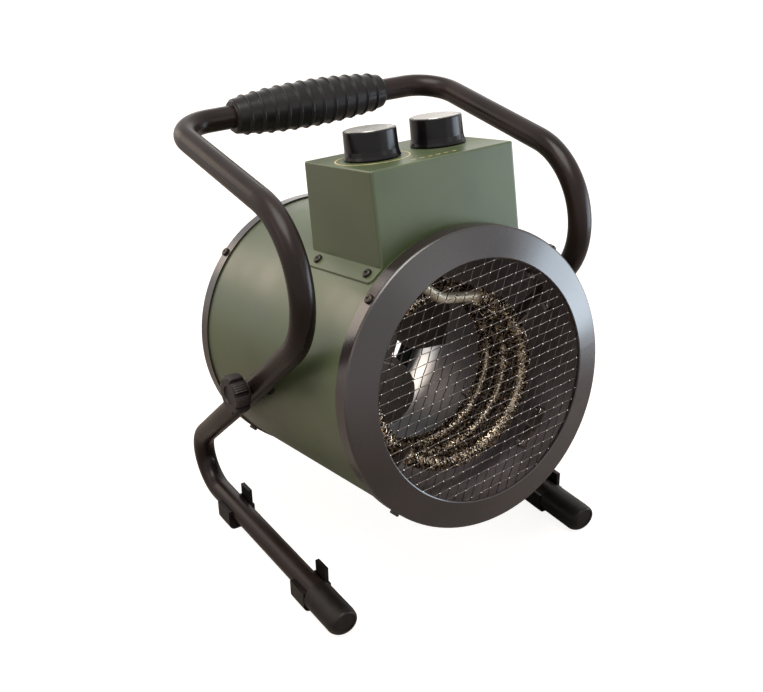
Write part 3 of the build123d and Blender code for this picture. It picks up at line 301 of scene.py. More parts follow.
motor_enamel = surface("black_stoved_motor_enamel", "#151414", "#201e1d", 0.0, 0.42, 0.9, 0.010, patch=30.0)

# %% [markdown]
# ### Bare metals
# The bolts are zinc plated, grey and cloudy, and the screws have a darker zinc.
# The rear grille and the washers are blackened steel, and the fan is dull rolled
# aluminium.  The liner behind the coil and the combs began bright and have been
# heated brown.  The outlet's wires are one steel in two colours: lighter on the
# rows, a painted highlight, and darker on the diagonals, painted shade.  A pale
# bright bead where they cross is a painted glint.  The coil's fins went bronze
# with their first hours of heat, some dark and some pale straw, and the pale straw
# also stands in for the fins' glints, a painted highlight in part.  Their two
# colours lie far apart and change every couple of millimetres.

# %% Bare metals
zinc_plate = surface("dull_zinc_plating", "#77746f", "#9a9791", 1.0, 0.42, 0.8, 0.008, patch=6.0)
dark_zinc = surface("dark_zinc_screw_steel", "#2f2b28", "#4a4540", 1.0, 0.36, 0.7, 0.008, patch=5.0)
black_steel = surface("blackened_steel", "#1b1a1a", "#292726", 0.5, 0.45, 0.8, 0.008, patch=20.0)
liner_steel = surface(
    "heat_browned_liner_steel", "#70666a", "#8b8185", 0.55, 0.46, 1.5, 0.010, patch=45.0, spread=0.12,
)
comb_steel = surface("heat_browned_comb_steel", "#5b4f4a", "#7a6e67", 0.7, 0.44, 1.0, 0.010, patch=15.0)
fan_aluminium = surface("dull_rolled_aluminium", "#7d7570", "#968d87", 0.35, 0.46, 1.2, 0.006, patch=30.0)
core_steel = surface("punched_core_steel", "#5d5b58", "#7a7773", 1.0, 0.45, 0.5, 0.020, patch=12.0)
ground_steel = surface("ground_bright_steel", "#a9a8a6", "#c6c5c3", 1.0, 0.22, 0.6, 0.004, patch=15.0)
brass = surface("turned_brass", "#9a7c3f", "#b8974f", 1.0, 0.30, 0.6, 0.005, patch=8.0)
# Rows and diagonals are one steel in two colours: the lighter rows are a painted highlight and the darker
# diagonals painted shade.
row_wire_painted_light = surface("row_steel_painted_light", "#5f5753", "#7f7671", 1.0, 0.26, 0.6, 0.006, patch=7.0)
diagonal_wire_painted_shade = surface(
    "diagonals_steel_painted_shade", "#2a2422", "#3d3633", 0.8, 0.34, 0.6, 0.006, patch=7.0, gloss=0.3,
)
# Painted glint: the beads' pale bright steel stands in for the light caught where the wires cross.
painted_glint_bead = surface("bright_steel_painted_glint", "#c9c4be", "#e6e2dc", 1.0, 0.18, 0.5, 0.004, patch=7.0)
# The fins' pale straw patches stand partly for heat tint and partly for glints, a painted highlight.
fin_bronze_and_painted_glints = surface("heat_bronzed_fin_steel_and_painted_glints", "#463a35", "#dfcfb8", 1.0, 0.24, 0.8, 0.010, patch=1.6)
sheath_steel = surface("heat_tinted_sheath_steel", "#bfb299", "#d6cbb5", 0.3, 0.44, 0.8, 0.006, patch=14.0)
print("materials so far:", len(bpy.data.materials))

# %% [markdown]
# ### The casing's sheet
# The drum is rolled from zinc coated sheet and only its outside is enamelled.  One
# solid carries both faces, so the material asks how far a point lies from the
# drum's axis: beyond the middle of the sheet it is green enamel, inside it is bare
# zinc.  The bare zinc carries painted light: near white behind the fan, where light
# comes in from the rear, falling to a painted shade of dark grey towards the coil.

# %% Sheet with two faces


def drum_coords(tree, coords, middle=(0, 0, 0)):
    """Object coordinates in the drum's own frame, in metres from a point given in millimetres."""
    turned = Matrix.Rotation(math.radians(TILT), 3, "X")
    centre = DRUM @ Vector(middle)
    return add(
        tree, "ShaderNodeMapping",
        {"Vector": coords, "Rotation": (math.radians(TILT), 0, 0), "Location": -(turned @ centre)},
    )


SHEET_MIDDLE_R = 115.75
PAINTED_LIGHT_FROM = 76.0
PAINTED_LIGHT_AT = 102.0
casing_sheet = green_enamel.copy()
casing_sheet.name = "zinc_sheet_enamelled_outside"
tree = casing_sheet.node_tree
shader = part_of(casing_sheet, "ShaderNodeBsdfPrincipled")
paint = part_of(casing_sheet, "ShaderNodeMix")
level = drum_coords(tree, part_of(casing_sheet, "ShaderNodeTexCoord").outputs["Object"])
across = add(tree, "ShaderNodeVectorMath", {0: level, 1: (1, 0, 1)}, operation="MULTIPLY")
away = add(tree, "ShaderNodeVectorMath", {0: across}, operation="LENGTH").outputs["Value"]
inside = add(tree, "ShaderNodeMath", {0: away, 1: SHEET_MIDDLE_R * MM}, operation="LESS_THAN")
along = add(tree, "ShaderNodeSeparateXYZ", {0: level})
# Painted light: the bare zinc's colour runs from dark grey towards the coil to near white behind the fan.
painted_rear_light = add(
    tree, "ShaderNodeMapRange",
    {"Value": along.outputs["Y"], "From Min": PAINTED_LIGHT_FROM * MM, "From Max": PAINTED_LIGHT_AT * MM},
    interpolation_type="SMOOTHSTEP",
)
zinc = add(tree, "ShaderNodeMix", {0: painted_rear_light, 6: linear("#4b4a4c"), 7: linear("#eceef0")}, data_type="RGBA")
face = add(tree, "ShaderNodeMix", {0: inside, 6: paint.outputs[2], 7: zinc.outputs[2]}, data_type="RGBA")
tree.links.new(face.outputs[2], shader.inputs["Base Color"])
tree.links.new(inside.outputs[0], shader.inputs["Metallic"])

# %% [markdown]
# ### Spun discs
# The silver inlays of the knobs are aluminium discs faced on a lathe.  The tool
# leaves rings finer than a tenth of a millimetre, which pull every highlight into
# a bow tie.  Rings that fine can't show, so ridge and groove are drawn a third of
# a millimetre wide each.  The rings centre on a knob, so each disc has its own
# Mapping.

# %% Spun discs
RIDGE_W = 0.33
RIDGE_RELIEF = 0.0012


def spun_disc(name, x, y, z):
    """Faced aluminium whose rings centre on a knob's axis in the drum's frame."""
    made = surface(name, "#8c8984", "#a5a29c", 1.0, 0.24, 1.0, 0.002, patch=30.0, spread=0.03)
    tree = made.node_tree
    relief = part_of(made, "ShaderNodeBump")
    to_disc = drum_coords(tree, part_of(made, "ShaderNodeTexCoord").outputs["Object"], (x, y, z))
    rings = add(
        tree, "ShaderNodeTexWave", {"Vector": to_disc, "Scale": 1 / (RIDGE_W * MM * 20 / math.pi)},
        wave_type="RINGS", rings_direction="Z",
    )
    tree.links.new(rings.outputs["Fac"], relief.inputs["Height"])
    relief.inputs["Distance"].default_value = RIDGE_RELIEF * MM
    return made


KNOB_X = (-30.0, 30.0)
KNOB_Y = -56.0
BOX_TOP = 169.6
KNOB_H = 22.0
discs = [spun_disc(f"spun_aluminium_disc_{n}", x, KNOB_Y, BOX_TOP + KNOB_H) for n, x in zip("ab", KNOB_X)]

# %% [markdown]
# ## Every solid gets its finish
# The solids that stay visible only need the right material in their slots.  The
# ones that a finer piece stands for are listed too, so nothing is left bare.

# %% Dress the solids
finishes = {
    tube_coat: ["stand_tube"],
    grip_plastic: ["hand_grip"],
    foot_rubber: ["foot_boot_left", "foot_boot_right", "foot_pads"],
    clamp_nylon: ["clamp_knob_left", "clamp_knob_right"],
    zinc_plate: [
        "clamp_bolt_left", "clamp_bolt_right", "pivot_bosses", "liner_standoffs", "coil_ferrules",
        "motor_posts", "motor_screws", "fan_nut", "bush_nuts", "thermostat_spindle", "selector_spindle",
    ],
    dark_zinc: ["box_screws", "bezel_screws", "rear_ring_screws"],
    black_steel: ["rear_grille", "pivot_washers"],
    green_enamel: ["control_box"],
    casing_sheet: ["drum_casing"],
    charcoal_enamel: ["front_bezel", "rear_ring"],
    row_wire_painted_light: ["outlet_mesh"],
    fin_bronze_and_painted_glints: ["heating_coil"],
    liner_steel: ["heat_liner"],
    comb_steel: ["coil_combs"],
    ground_steel: ["comb_screws", "terminal_pins", "motor_bearings", "fan_shaft"],
    brass: ["terminal_nuts", "shaft_collar"],
    motor_enamel: ["motor_shell", "motor_end_cap"],
    core_steel: ["motor_stator", "motor_rotor"],
    fan_aluminium: ["fan_impeller"],
    knob_phenolic: ["thermostat_knob", "selector_knob"],
    discs[0]: ["thermostat_disc"],
    discs[1]: ["selector_disc"],
    switch_phenolic: ["thermostat_switch", "selector_switch", "thermal_cutout"],
    gland_nylon: ["cable_gland", "gland_nut"],
    block_porcelain: ["terminal_block"],
}
dressed = set()
for made, names in finishes.items():
    for name in names:
        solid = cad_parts[name]
        if not solid.material_slots:
            solid.data.materials.append(made)
        for spot in solid.material_slots:
            spot.material = made
        dressed.add(name)
print("dressed", len(dressed), "of", len(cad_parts), "left:", sorted(set(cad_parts) - dressed))

# %% [markdown]
# ## Geometry Nodes, run and kept
# What repeats or follows a path is made by a Geometry Nodes tree that is built
# here.  A tree is run on a holder object, its inputs are set by their identifiers
# before it is first evaluated, and the result is kept as a plain mesh.  The holder
# goes, so no live modifier is left.

# %% Build and run a tree


def grow(name, sockets):
    """New geometry tree with a geometry in and out and the named inputs."""
    tree = bpy.data.node_groups.new(name, "GeometryNodeTree")
    tree.interface.new_socket("Geometry", in_out="INPUT", socket_type="NodeSocketGeometry")
    for label, kind in sockets:
        tree.interface.new_socket(label, in_out="INPUT", socket_type="NodeSocket" + kind)
    tree.interface.new_socket("Geometry", in_out="OUTPUT", socket_type="NodeSocketGeometry")
    return tree, add(tree, "NodeGroupInput").outputs


def close_tree(tree, geometry, finish):
    """End a tree in Realize Instances and Set Material."""
    real = add(tree, "GeometryNodeRealizeInstances", {0: geometry})
    dressed_part = add(tree, "GeometryNodeSetMaterial", {"Geometry": real, "Material": finish})
    add(tree, "NodeGroupOutput", {0: dressed_part})


def run(tree, values, data=None):
    """Run a tree on a holder and return what it made as a plain mesh."""
    holder = bpy.data.objects.new("holder", data or bpy.data.meshes.new("holder"))
    scene.collection.objects.link(holder)
    modifier = holder.modifiers.new("maker", "NODES")
    modifier.node_group = tree
    for item in tree.interface.items_tree:
        if item.item_type == "SOCKET" and item.in_out == "INPUT" and item.name in values:
            modifier[item.identifier] = values[item.name]
    bpy.context.view_layer.update()
    graph = bpy.context.evaluated_depsgraph_get()
    made = bpy.data.meshes.new_from_object(holder.evaluated_get(graph))
    bpy.data.objects.remove(holder)
    return made


def joined(meshes):
    """One mesh of several, with their materials."""
    parts = bmesh.new()
    finishes_used = []
    for mesh in meshes:
        first = len(parts.faces)
        parts.from_mesh(mesh)
        parts.faces.ensure_lookup_table()
        for material in mesh.materials:
            if material not in finishes_used:
                finishes_used.append(material)
        for face in parts.faces[first:]:
            face.material_index = finishes_used.index(mesh.materials[face.material_index])
    whole = bpy.data.meshes.new("joined")
    parts.to_mesh(whole)
    parts.free()
    for material in finishes_used:
        whole.materials.append(material)
    return whole


# %% [markdown]
# ## The outlet's woven wire
# The guard is made of two families of steel wire that cross at a slant: level
# rows, and diagonals that are a little thicker.  Both are the same steel in two
# colours: the rows a lighter one, a painted highlight, and the diagonals a darker
# one, painted shade.  Each wire is crimped slightly, over one neighbour and under
# the next.  One tree draws a family of parallel wires with the crimp as a cosine
# of the place along the wire, and it is run twice.  The crimp fades to a quarter
# near the rim, where the wires lie between the bezel and its lip.

# %% Wire tree
tree, given = grow(
    "crimped_wires",
    [
        ("Pitch", "Float"), ("Step", "Float"), ("Slant", "Float"), ("Turn", "Float"), ("Reach", "Float"),
        ("Crimp", "Float"), ("Fade From", "Float"), ("Fade To", "Float"), ("Rim Share", "Float"),
        ("Wire Radius", "Float"), ("Angle", "Float"), ("Half Count", "Int"), ("Finish", "Material"),
    ],
)
lowest = add(tree, "ShaderNodeMath", {0: given["Half Count"], 1: given["Pitch"]}, operation="MULTIPLY")
lowest = add(tree, "ShaderNodeMath", {0: lowest, 1: -1.0}, operation="MULTIPLY")
count = add(tree, "ShaderNodeMath", {0: given["Half Count"], 1: 2.0, 2: 1.0}, operation="MULTIPLY_ADD")
start = add(tree, "ShaderNodeCombineXYZ", {"Y": lowest})
stride = add(tree, "ShaderNodeCombineXYZ", {"Y": given["Pitch"]})
rows = add(tree, "GeometryNodeMeshLine", {"Count": count, "Start Location": start, "Offset": stride})
minus = add(tree, "ShaderNodeMath", {0: given["Reach"], 1: -1.0}, operation="MULTIPLY")
left_end = add(tree, "ShaderNodeCombineXYZ", {"X": minus})
right_end = add(tree, "ShaderNodeCombineXYZ", {"X": given["Reach"]})
straight = add(tree, "GeometryNodeCurvePrimitiveLine", {"Start": left_end, "End": right_end})
dense = add(tree, "GeometryNodeResampleCurve", {"Curve": straight, "Count": 180})
laid = add(tree, "GeometryNodeInstanceOnPoints", {"Points": rows, "Instance": dense})
laid = add(tree, "GeometryNodeRealizeInstances", {0: laid})
spot = add(tree, "GeometryNodeInputPosition")
xyz = add(tree, "ShaderNodeSeparateXYZ", {0: spot}).outputs
away = add(tree, "ShaderNodeVectorMath", {0: spot}, operation="LENGTH").outputs["Value"]
outside = add(
    tree, "FunctionNodeCompare", {0: away, 1: given["Reach"]}, data_type="FLOAT", operation="GREATER_THAN",
)
trimmed = add(tree, "GeometryNodeDeleteGeometry", {"Geometry": laid, "Selection": outside}, domain="POINT")
shifted = add(
    tree, "ShaderNodeMath", {0: xyz["Y"], 1: given["Slant"], 2: xyz["X"]}, operation="MULTIPLY_ADD",
)
along = add(tree, "ShaderNodeMath", {0: shifted, 1: given["Step"]}, operation="DIVIDE")
across = add(tree, "ShaderNodeMath", {0: xyz["Y"], 1: given["Pitch"]}, operation="DIVIDE")
phase = add(tree, "ShaderNodeMath", {0: along, 1: across}, operation="ADD")
phase = add(tree, "ShaderNodeMath", {0: phase, 1: math.pi, 2: given["Turn"]}, operation="MULTIPLY_ADD")
wave = add(tree, "ShaderNodeMath", {0: phase}, operation="COSINE")
fade = add(
    tree, "ShaderNodeMapRange",
    {
        "Value": away, "From Min": given["Fade From"], "From Max": given["Fade To"],
        "To Min": 1.0, "To Max": given["Rim Share"],
    },
)
lift = add(tree, "ShaderNodeMath", {0: wave, 1: given["Crimp"]}, operation="MULTIPLY")
lift = add(tree, "ShaderNodeMath", {0: lift, 1: fade}, operation="MULTIPLY")
offset = add(tree, "ShaderNodeCombineXYZ", {"Z": lift})
crimped = add(tree, "GeometryNodeSetPosition", {"Geometry": trimmed, "Offset": offset})
section = add(tree, "GeometryNodeCurvePrimitiveCircle", {"Resolution": 6, "Radius": given["Wire Radius"]})
wires = add(
    tree, "GeometryNodeCurveToMesh", {"Curve": crimped, "Profile Curve": section, "Fill Caps": True},
)
heading = add(tree, "ShaderNodeCombineXYZ", {"Z": given["Angle"]})
turned = add(tree, "GeometryNodeTransform", {"Geometry": wires, "Rotation": heading})
round_look = add(tree, "GeometryNodeSetShadeSmooth", {"Geometry": turned})
close_tree(tree, round_look, given["Finish"])

# %% Weave the guard
ROW_ANGLE = math.radians(5.35)
DIAGONAL_ANGLE = math.radians(62.6)
ROW_PITCH = 7.97
DIAGONAL_PITCH = 7.84
MESH_REACH = 98.3
WIRE_R = 0.36
DIAGONAL_R = 0.40
CRIMP = 0.36
crossing = DIAGONAL_ANGLE - ROW_ANGLE
shared = {
    "Reach": MESH_REACH, "Crimp": CRIMP, "Fade From": 88.0, "Fade To": 94.0, "Rim Share": 0.25,
    "Half Count": 12,
}
weft = run(tree, {
    **shared, "Pitch": ROW_PITCH, "Step": DIAGONAL_PITCH / math.sin(crossing),
    "Slant": -1 / math.tan(crossing), "Turn": 0.0, "Angle": ROW_ANGLE,
    "Wire Radius": WIRE_R, "Finish": row_wire_painted_light,
})
warp = run(tree, {
    **shared, "Pitch": DIAGONAL_PITCH, "Step": ROW_PITCH / math.sin(crossing),
    "Slant": 1 / math.tan(crossing), "Turn": math.pi, "Angle": DIAGONAL_ANGLE,
    "Wire Radius": DIAGONAL_R, "Finish": diagonal_wire_painted_shade,
})
print("rows and diagonals:", len(weft.polygons), len(warp.polygons), "faces")

# %% [markdown]
# A small pale bright bead sits on the front of each crossing, a painted glint
# where the crests of the wires catch the light.  The crossings are worked out from
# the two pitches and angles, and a tree sets one bead on each.

# %% Painted glint beads
BEAD_R = 0.62
BEAD_OUT = 0.30
BEAD_REACH = 96.0
HALF_LINES = 14
row_way = Vector((math.cos(ROW_ANGLE), math.sin(ROW_ANGLE), 0))
diagonal_way = Vector((math.cos(DIAGONAL_ANGLE), math.sin(DIAGONAL_ANGLE), 0))
crossings = [
    (row_way * (i * DIAGONAL_PITCH) + diagonal_way * (j * ROW_PITCH)) / math.sin(crossing)
    for i in range(-HALF_LINES, HALF_LINES + 1)
    for j in range(-HALF_LINES, HALF_LINES + 1)
]
crossings = [p + Vector((0, 0, BEAD_OUT)) for p in crossings if p.length < BEAD_REACH]
spots_mesh = bpy.data.meshes.new("crossings")
spots_mesh.from_pydata(crossings, [], [])
tree, given = grow("painted_glint_beads_tree", [("Bead Radius", "Float"), ("Detail", "Int"), ("Finish", "Material")])
bead = add(
    tree, "GeometryNodeMeshIcoSphere", {"Radius": given["Bead Radius"], "Subdivisions": given["Detail"]},
)
beads = add(tree, "GeometryNodeInstanceOnPoints", {"Points": given["Geometry"], "Instance": bead})
beads = add(tree, "GeometryNodeRealizeInstances", {0: beads})
beads = add(tree, "GeometryNodeSetShadeSmooth", {"Geometry": beads})
close_tree(tree, beads, given["Finish"])
painted_glints = run(tree, {"Bead Radius": BEAD_R, "Detail": 1, "Finish": painted_glint_bead}, data=spots_mesh)
print("weld beads:", len(crossings))

# %% Stand the weave in the outlet
MESH_Y = -128.5
stood_up = Matrix.Translation((0, MESH_Y, 0)) @ Matrix.Rotation(math.pi / 2, 4, "X")
weave = joined([weft, warp, painted_glints])
weave.transform(stood_up)
keep("outlet_weave", weave, "drum", instead_of=["outlet_mesh"])

# %% [markdown]
# ## The finned heating coil
# The element is a steel sheath with a thin strip wound round it on edge, which
# hands the heat to the air.  The strip is pleated where it hugs the sheath, so
# each fin is a crinkled disc that sparkles, and no two lean alike.  Three turns
# hang a little below the drum's axis.  Plain cold ends lead up to the control
# box, and the front one sags between the coil and its riser.  The centre line is
# a helix from the same sizes as the solid.  A tree walks along it and sets a
# pleated disc across it at each fin's place.

# %% Coil sizes and centre line
COIL_R = 69.2
COIL_DROP = 9.0
COIL_FRONT = -92.5
COIL_PITCH = 23.0
COIL_START = 66.0
COIL_SWEEP = 360 * 3 - 2 * (90 - COIL_START)
RISER_X = 30.0
RISER_TOP = 131.0
SHEATH_R = 4.2
HELIX_STEPS = 540


def coil_point(turned_by):
    """Point on the helix after turning clockwise from its start, in degrees."""
    a = math.radians(COIL_START - turned_by)
    y = COIL_FRONT + COIL_PITCH * turned_by / 360
    return Vector((COIL_R * math.cos(a), y, COIL_R * math.sin(a) - COIL_DROP))


def polyline(points):
    """Curve data of one straight-run spline through points."""
    line = bpy.data.curves.new("line", "CURVE")
    line.dimensions = "3D"
    spline = line.splines.new("POLY")
    spline.points.add(len(points) - 1)
    for spot_on, p in zip(spline.points, points):
        spot_on.co = (*p, 1.0)
    return line


helix = [coil_point(COIL_SWEEP * i / HELIX_STEPS) for i in range(HELIX_STEPS + 1)]
length = sum((b - a).length for a, b in zip(helix[:-1], helix[1:]))
print("finned length", round(length), "mm")

# %% Fin tree
tree, given = grow(
    "finned_sheath",
    [
        ("Fin Pitch", "Float"), ("Fin Radius", "Float"), ("Fin Thickness", "Float"), ("Pleats", "Int"),
        ("Pleat Depth", "Float"), ("Lean", "Float"), ("Sheath Radius", "Float"), ("Finish", "Material"),
    ],
)
stops = add(
    tree, "GeometryNodeCurveToPoints", {"Curve": given["Geometry"], "Length": given["Fin Pitch"]},
    mode="LENGTH",
)
corners = add(tree, "ShaderNodeMath", {0: given["Pleats"], 1: 2.0}, operation="MULTIPLY")
fin = add(
    tree, "GeometryNodeMeshCylinder",
    {"Vertices": corners, "Radius": given["Fin Radius"], "Depth": given["Fin Thickness"]},
    fill_type="TRIANGLE_FAN",
)
spot = add(tree, "GeometryNodeInputPosition")
xyz = add(tree, "ShaderNodeSeparateXYZ", {0: spot}).outputs
angle = add(tree, "ShaderNodeMath", {0: xyz["Y"], 1: xyz["X"]}, operation="ARCTAN2")
angle = add(tree, "ShaderNodeMath", {0: angle, 1: given["Pleats"]}, operation="MULTIPLY")
fold = add(tree, "ShaderNodeMath", {0: angle}, operation="COSINE")
out = add(tree, "ShaderNodeVectorMath", {0: spot}, operation="LENGTH").outputs["Value"]
fold = add(tree, "ShaderNodeMath", {0: fold, 1: out}, operation="MULTIPLY")
fold = add(tree, "ShaderNodeMath", {0: fold, 1: given["Pleat Depth"]}, operation="MULTIPLY")
fold = add(tree, "ShaderNodeMath", {0: fold, 1: given["Fin Radius"]}, operation="DIVIDE")
push = add(tree, "ShaderNodeCombineXYZ", {"Z": fold})
pleated = add(tree, "GeometryNodeSetPosition", {"Geometry": fin, "Offset": push})
against = add(tree, "ShaderNodeMath", {0: given["Lean"], 1: -1.0}, operation="MULTIPLY")
least = add(tree, "ShaderNodeCombineXYZ", {"X": against, "Y": against, "Z": -math.pi})
most = add(tree, "ShaderNodeCombineXYZ", {"X": given["Lean"], "Y": given["Lean"], "Z": math.pi})
chance = add(tree, "FunctionNodeRandomValue", {0: least, 1: most, "Seed": 11}, data_type="FLOAT_VECTOR")
fins = add(
    tree, "GeometryNodeInstanceOnPoints",
    {"Points": stops, "Instance": pleated, "Rotation": stops.outputs["Rotation"]},
)
fins = add(tree, "GeometryNodeRotateInstances", {"Instances": fins, "Rotation": chance})
section = add(tree, "GeometryNodeCurvePrimitiveCircle", {"Resolution": 12, "Radius": given["Sheath Radius"]})
sheath = add(
    tree, "GeometryNodeCurveToMesh",
    {"Curve": given["Geometry"], "Profile Curve": section, "Fill Caps": True},
)
sheath = add(tree, "GeometryNodeSetShadeSmooth", {"Geometry": sheath})
parts = add(tree, "GeometryNodeJoinGeometry")
tree.links.new(fins.outputs[0], parts.inputs[0])
tree.links.new(sheath.outputs[0], parts.inputs[0])
close_tree(tree, parts, given["Finish"])

# %% Wind the fins
finned = run(tree, {
    "Fin Pitch": 2.8, "Fin Radius": 7.4, "Fin Thickness": 0.7, "Pleats": 8, "Pleat Depth": 1.1,
    "Lean": 0.20, "Sheath Radius": SHEATH_R, "Finish": fin_bronze_and_painted_glints,
}, data=polyline(helix))

# %% Cold ends
RISER_BEND_R = 15.0
START_SAG = 10.0
SAG_BEND_R = 30.0
SAG_SHARE = 0.62


def rounded(points, radii, steps=10):
    """Points of a run of straights with an arc of the given radius at each corner."""
    way = [points[0]]
    for before, corner, after, radius in zip(points, points[1:], points[2:], radii):
        back = (before - corner).normalized()
        on = (after - corner).normalized()
        half = back.angle(on) / 2
        centre = corner + (back + on).normalized() * (radius / math.sin(half))
        first = (corner + back * (radius / math.tan(half)) - centre).normalized()
        last = (corner + on * (radius / math.tan(half)) - centre).normalized()
        way += [centre + radius * first.slerp(last, i / steps) for i in range(steps + 1)]
    return [*way, points[-1]]


def cold_end(point, outward, x, sag):
    """Centre line from an end of the helix to its riser and up, lowered on the way by the sag."""
    reach = (x - point.x) / outward.x
    corner = point + outward * reach
    top = Vector((x, corner.y, RISER_TOP))
    if sag == 0:
        return rounded([point, corner, top], [RISER_BEND_R])
    low = point + outward * (reach * SAG_SHARE) - Vector((0, 0, sag))
    return rounded([point, low, corner, top], [SAG_BEND_R, RISER_BEND_R])


tree, given = grow("smooth_sheath", [("Radius", "Float"), ("Sides", "Int"), ("Finish", "Material")])
section = add(
    tree, "GeometryNodeCurvePrimitiveCircle", {"Resolution": given["Sides"], "Radius": given["Radius"]},
)
pipe = add(
    tree, "GeometryNodeCurveToMesh",
    {"Curve": given["Geometry"], "Profile Curve": section, "Fill Caps": True},
)
pipe = add(tree, "GeometryNodeSetShadeSmooth", {"Geometry": pipe})
close_tree(tree, pipe, given["Finish"])
front_way = cold_end(helix[0], (helix[0] - helix[1]).normalized(), -RISER_X, START_SAG)
back_way = cold_end(helix[-1], (helix[-1] - helix[-2]).normalized(), RISER_X, 0)
ends = [
    run(tree, {"Radius": SHEATH_R, "Sides": 16, "Finish": sheath_steel}, data=polyline(way))
    for way in (front_way, back_way)
]
keep("finned_coil", joined([finned, *ends]), "drum", instead_of=["heating_coil"])

# %% [markdown]
# ## The clamp knobs
# Both clamp knobs are moulded in one piece round their bolts.  Eight deep flutes
# split the rim into lobes, and fine ridges along the lobes give the fingers hold.
# The plain body is turned from a profile, with a shallow dish in its face.  A tree
# then moves the rim's points inwards, by how near each one lies to the middle of
# a flute or to the valley between two ridges.

# %% Flute tree
tree, given = grow(
    "fluted_rim",
    [
        ("Plain Radius", "Float"), ("Rim Radius", "Float"), ("Flutes", "Float"), ("Flute Depth", "Float"),
        ("Flute Edge", "Float"), ("Ridges", "Float"), ("Ridge Depth", "Float"), ("Ridge Edge", "Float"),
        ("Finish", "Material"),
    ],
)
spot = add(tree, "GeometryNodeInputPosition")
flat = add(tree, "ShaderNodeVectorMath", {0: spot, 1: (0, 1, 1)}, operation="MULTIPLY")
away = add(tree, "ShaderNodeVectorMath", {0: flat}, operation="LENGTH").outputs["Value"]
outwards = add(tree, "ShaderNodeVectorMath", {0: flat}, operation="NORMALIZE")
yz = add(tree, "ShaderNodeSeparateXYZ", {0: spot}).outputs
angle = add(tree, "ShaderNodeMath", {0: yz["Z"], 1: yz["Y"]}, operation="ARCTAN2")
flute = add(tree, "ShaderNodeMath", {0: angle, 1: given["Flutes"]}, operation="MULTIPLY")
flute = add(tree, "ShaderNodeMath", {0: flute}, operation="COSINE")
flute = add(
    tree, "ShaderNodeMapRange", {"Value": flute, "From Min": given["Flute Edge"], "From Max": -1.0},
    interpolation_type="SMOOTHSTEP",
)
flute = add(tree, "ShaderNodeMath", {0: flute, 1: given["Flute Depth"]}, operation="MULTIPLY")
ridge = add(tree, "ShaderNodeMath", {0: angle, 1: given["Ridges"]}, operation="MULTIPLY")
ridge = add(tree, "ShaderNodeMath", {0: ridge}, operation="COSINE")
ridge = add(tree, "ShaderNodeMapRange", {"Value": ridge, "From Min": given["Ridge Edge"], "From Max": -1.0})
ridge = add(tree, "ShaderNodeMath", {0: ridge, 1: given["Ridge Depth"]}, operation="MULTIPLY")
cut = add(tree, "ShaderNodeMath", {0: flute, 1: ridge}, operation="ADD")
on_rim = add(
    tree, "ShaderNodeMapRange",
    {"Value": away, "From Min": given["Plain Radius"], "From Max": given["Rim Radius"]},
    interpolation_type="SMOOTHSTEP",
)
cut = add(tree, "ShaderNodeMath", {0: cut, 1: on_rim}, operation="MULTIPLY")
cut = add(tree, "ShaderNodeMath", {0: cut, 1: -1.0}, operation="MULTIPLY")
push = add(tree, "ShaderNodeVectorMath", {0: outwards, "Scale": cut}, operation="SCALE")
fluted = add(tree, "GeometryNodeSetPosition", {"Geometry": given["Geometry"], "Offset": push})
close_tree(tree, fluted, given["Finish"])

# %% Turn and flute both knobs
CLAMP_OUT_X = 137.3
CLAMP_R = 16.0
CLAMP_LEN = 12.49
CLAMP_HUB_R = 10.0
CLAMP_HUB_LEN = 2.6
CLAMP_BOLT_R = 4.0
CLAMP_GAP = 0.02
CLAMP_BORE_SHARE = 0.6
CLAMP_ROUND = 2.0
CLAMP_FLAT_R = 12.0
DISH_R = 8.0
DISH_FLOOR_R = 7.6
DISH_DEPTH = 1.2
LATHE_STEPS = 384
SHARP_FROM = math.radians(40)
face_x = CLAMP_HUB_LEN + CLAMP_LEN
bore_x = CLAMP_HUB_LEN + CLAMP_BORE_SHARE * CLAMP_LEN
back_round = [
    (CLAMP_HUB_LEN + CLAMP_ROUND * (1 - math.sin(a)), CLAMP_R - CLAMP_ROUND * (1 - math.cos(a)))
    for a in (math.radians(d) for d in (90, 60, 30, 0))
]
front_round = [(face_x + CLAMP_HUB_LEN - x, r) for x, r in reversed(back_round)]
bore_r = CLAMP_BOLT_R + CLAMP_GAP
dish_x = face_x - DISH_DEPTH
profile = [
    (bore_x, 0), (bore_x, bore_r), (CLAMP_GAP, bore_r), (CLAMP_GAP, CLAMP_HUB_R),
    (CLAMP_HUB_LEN, CLAMP_HUB_R), (CLAMP_HUB_LEN, CLAMP_FLAT_R), *back_round, *front_round,
    (face_x, CLAMP_FLAT_R), (face_x, DISH_R), (dish_x, DISH_FLOOR_R), (dish_x, 0),
]
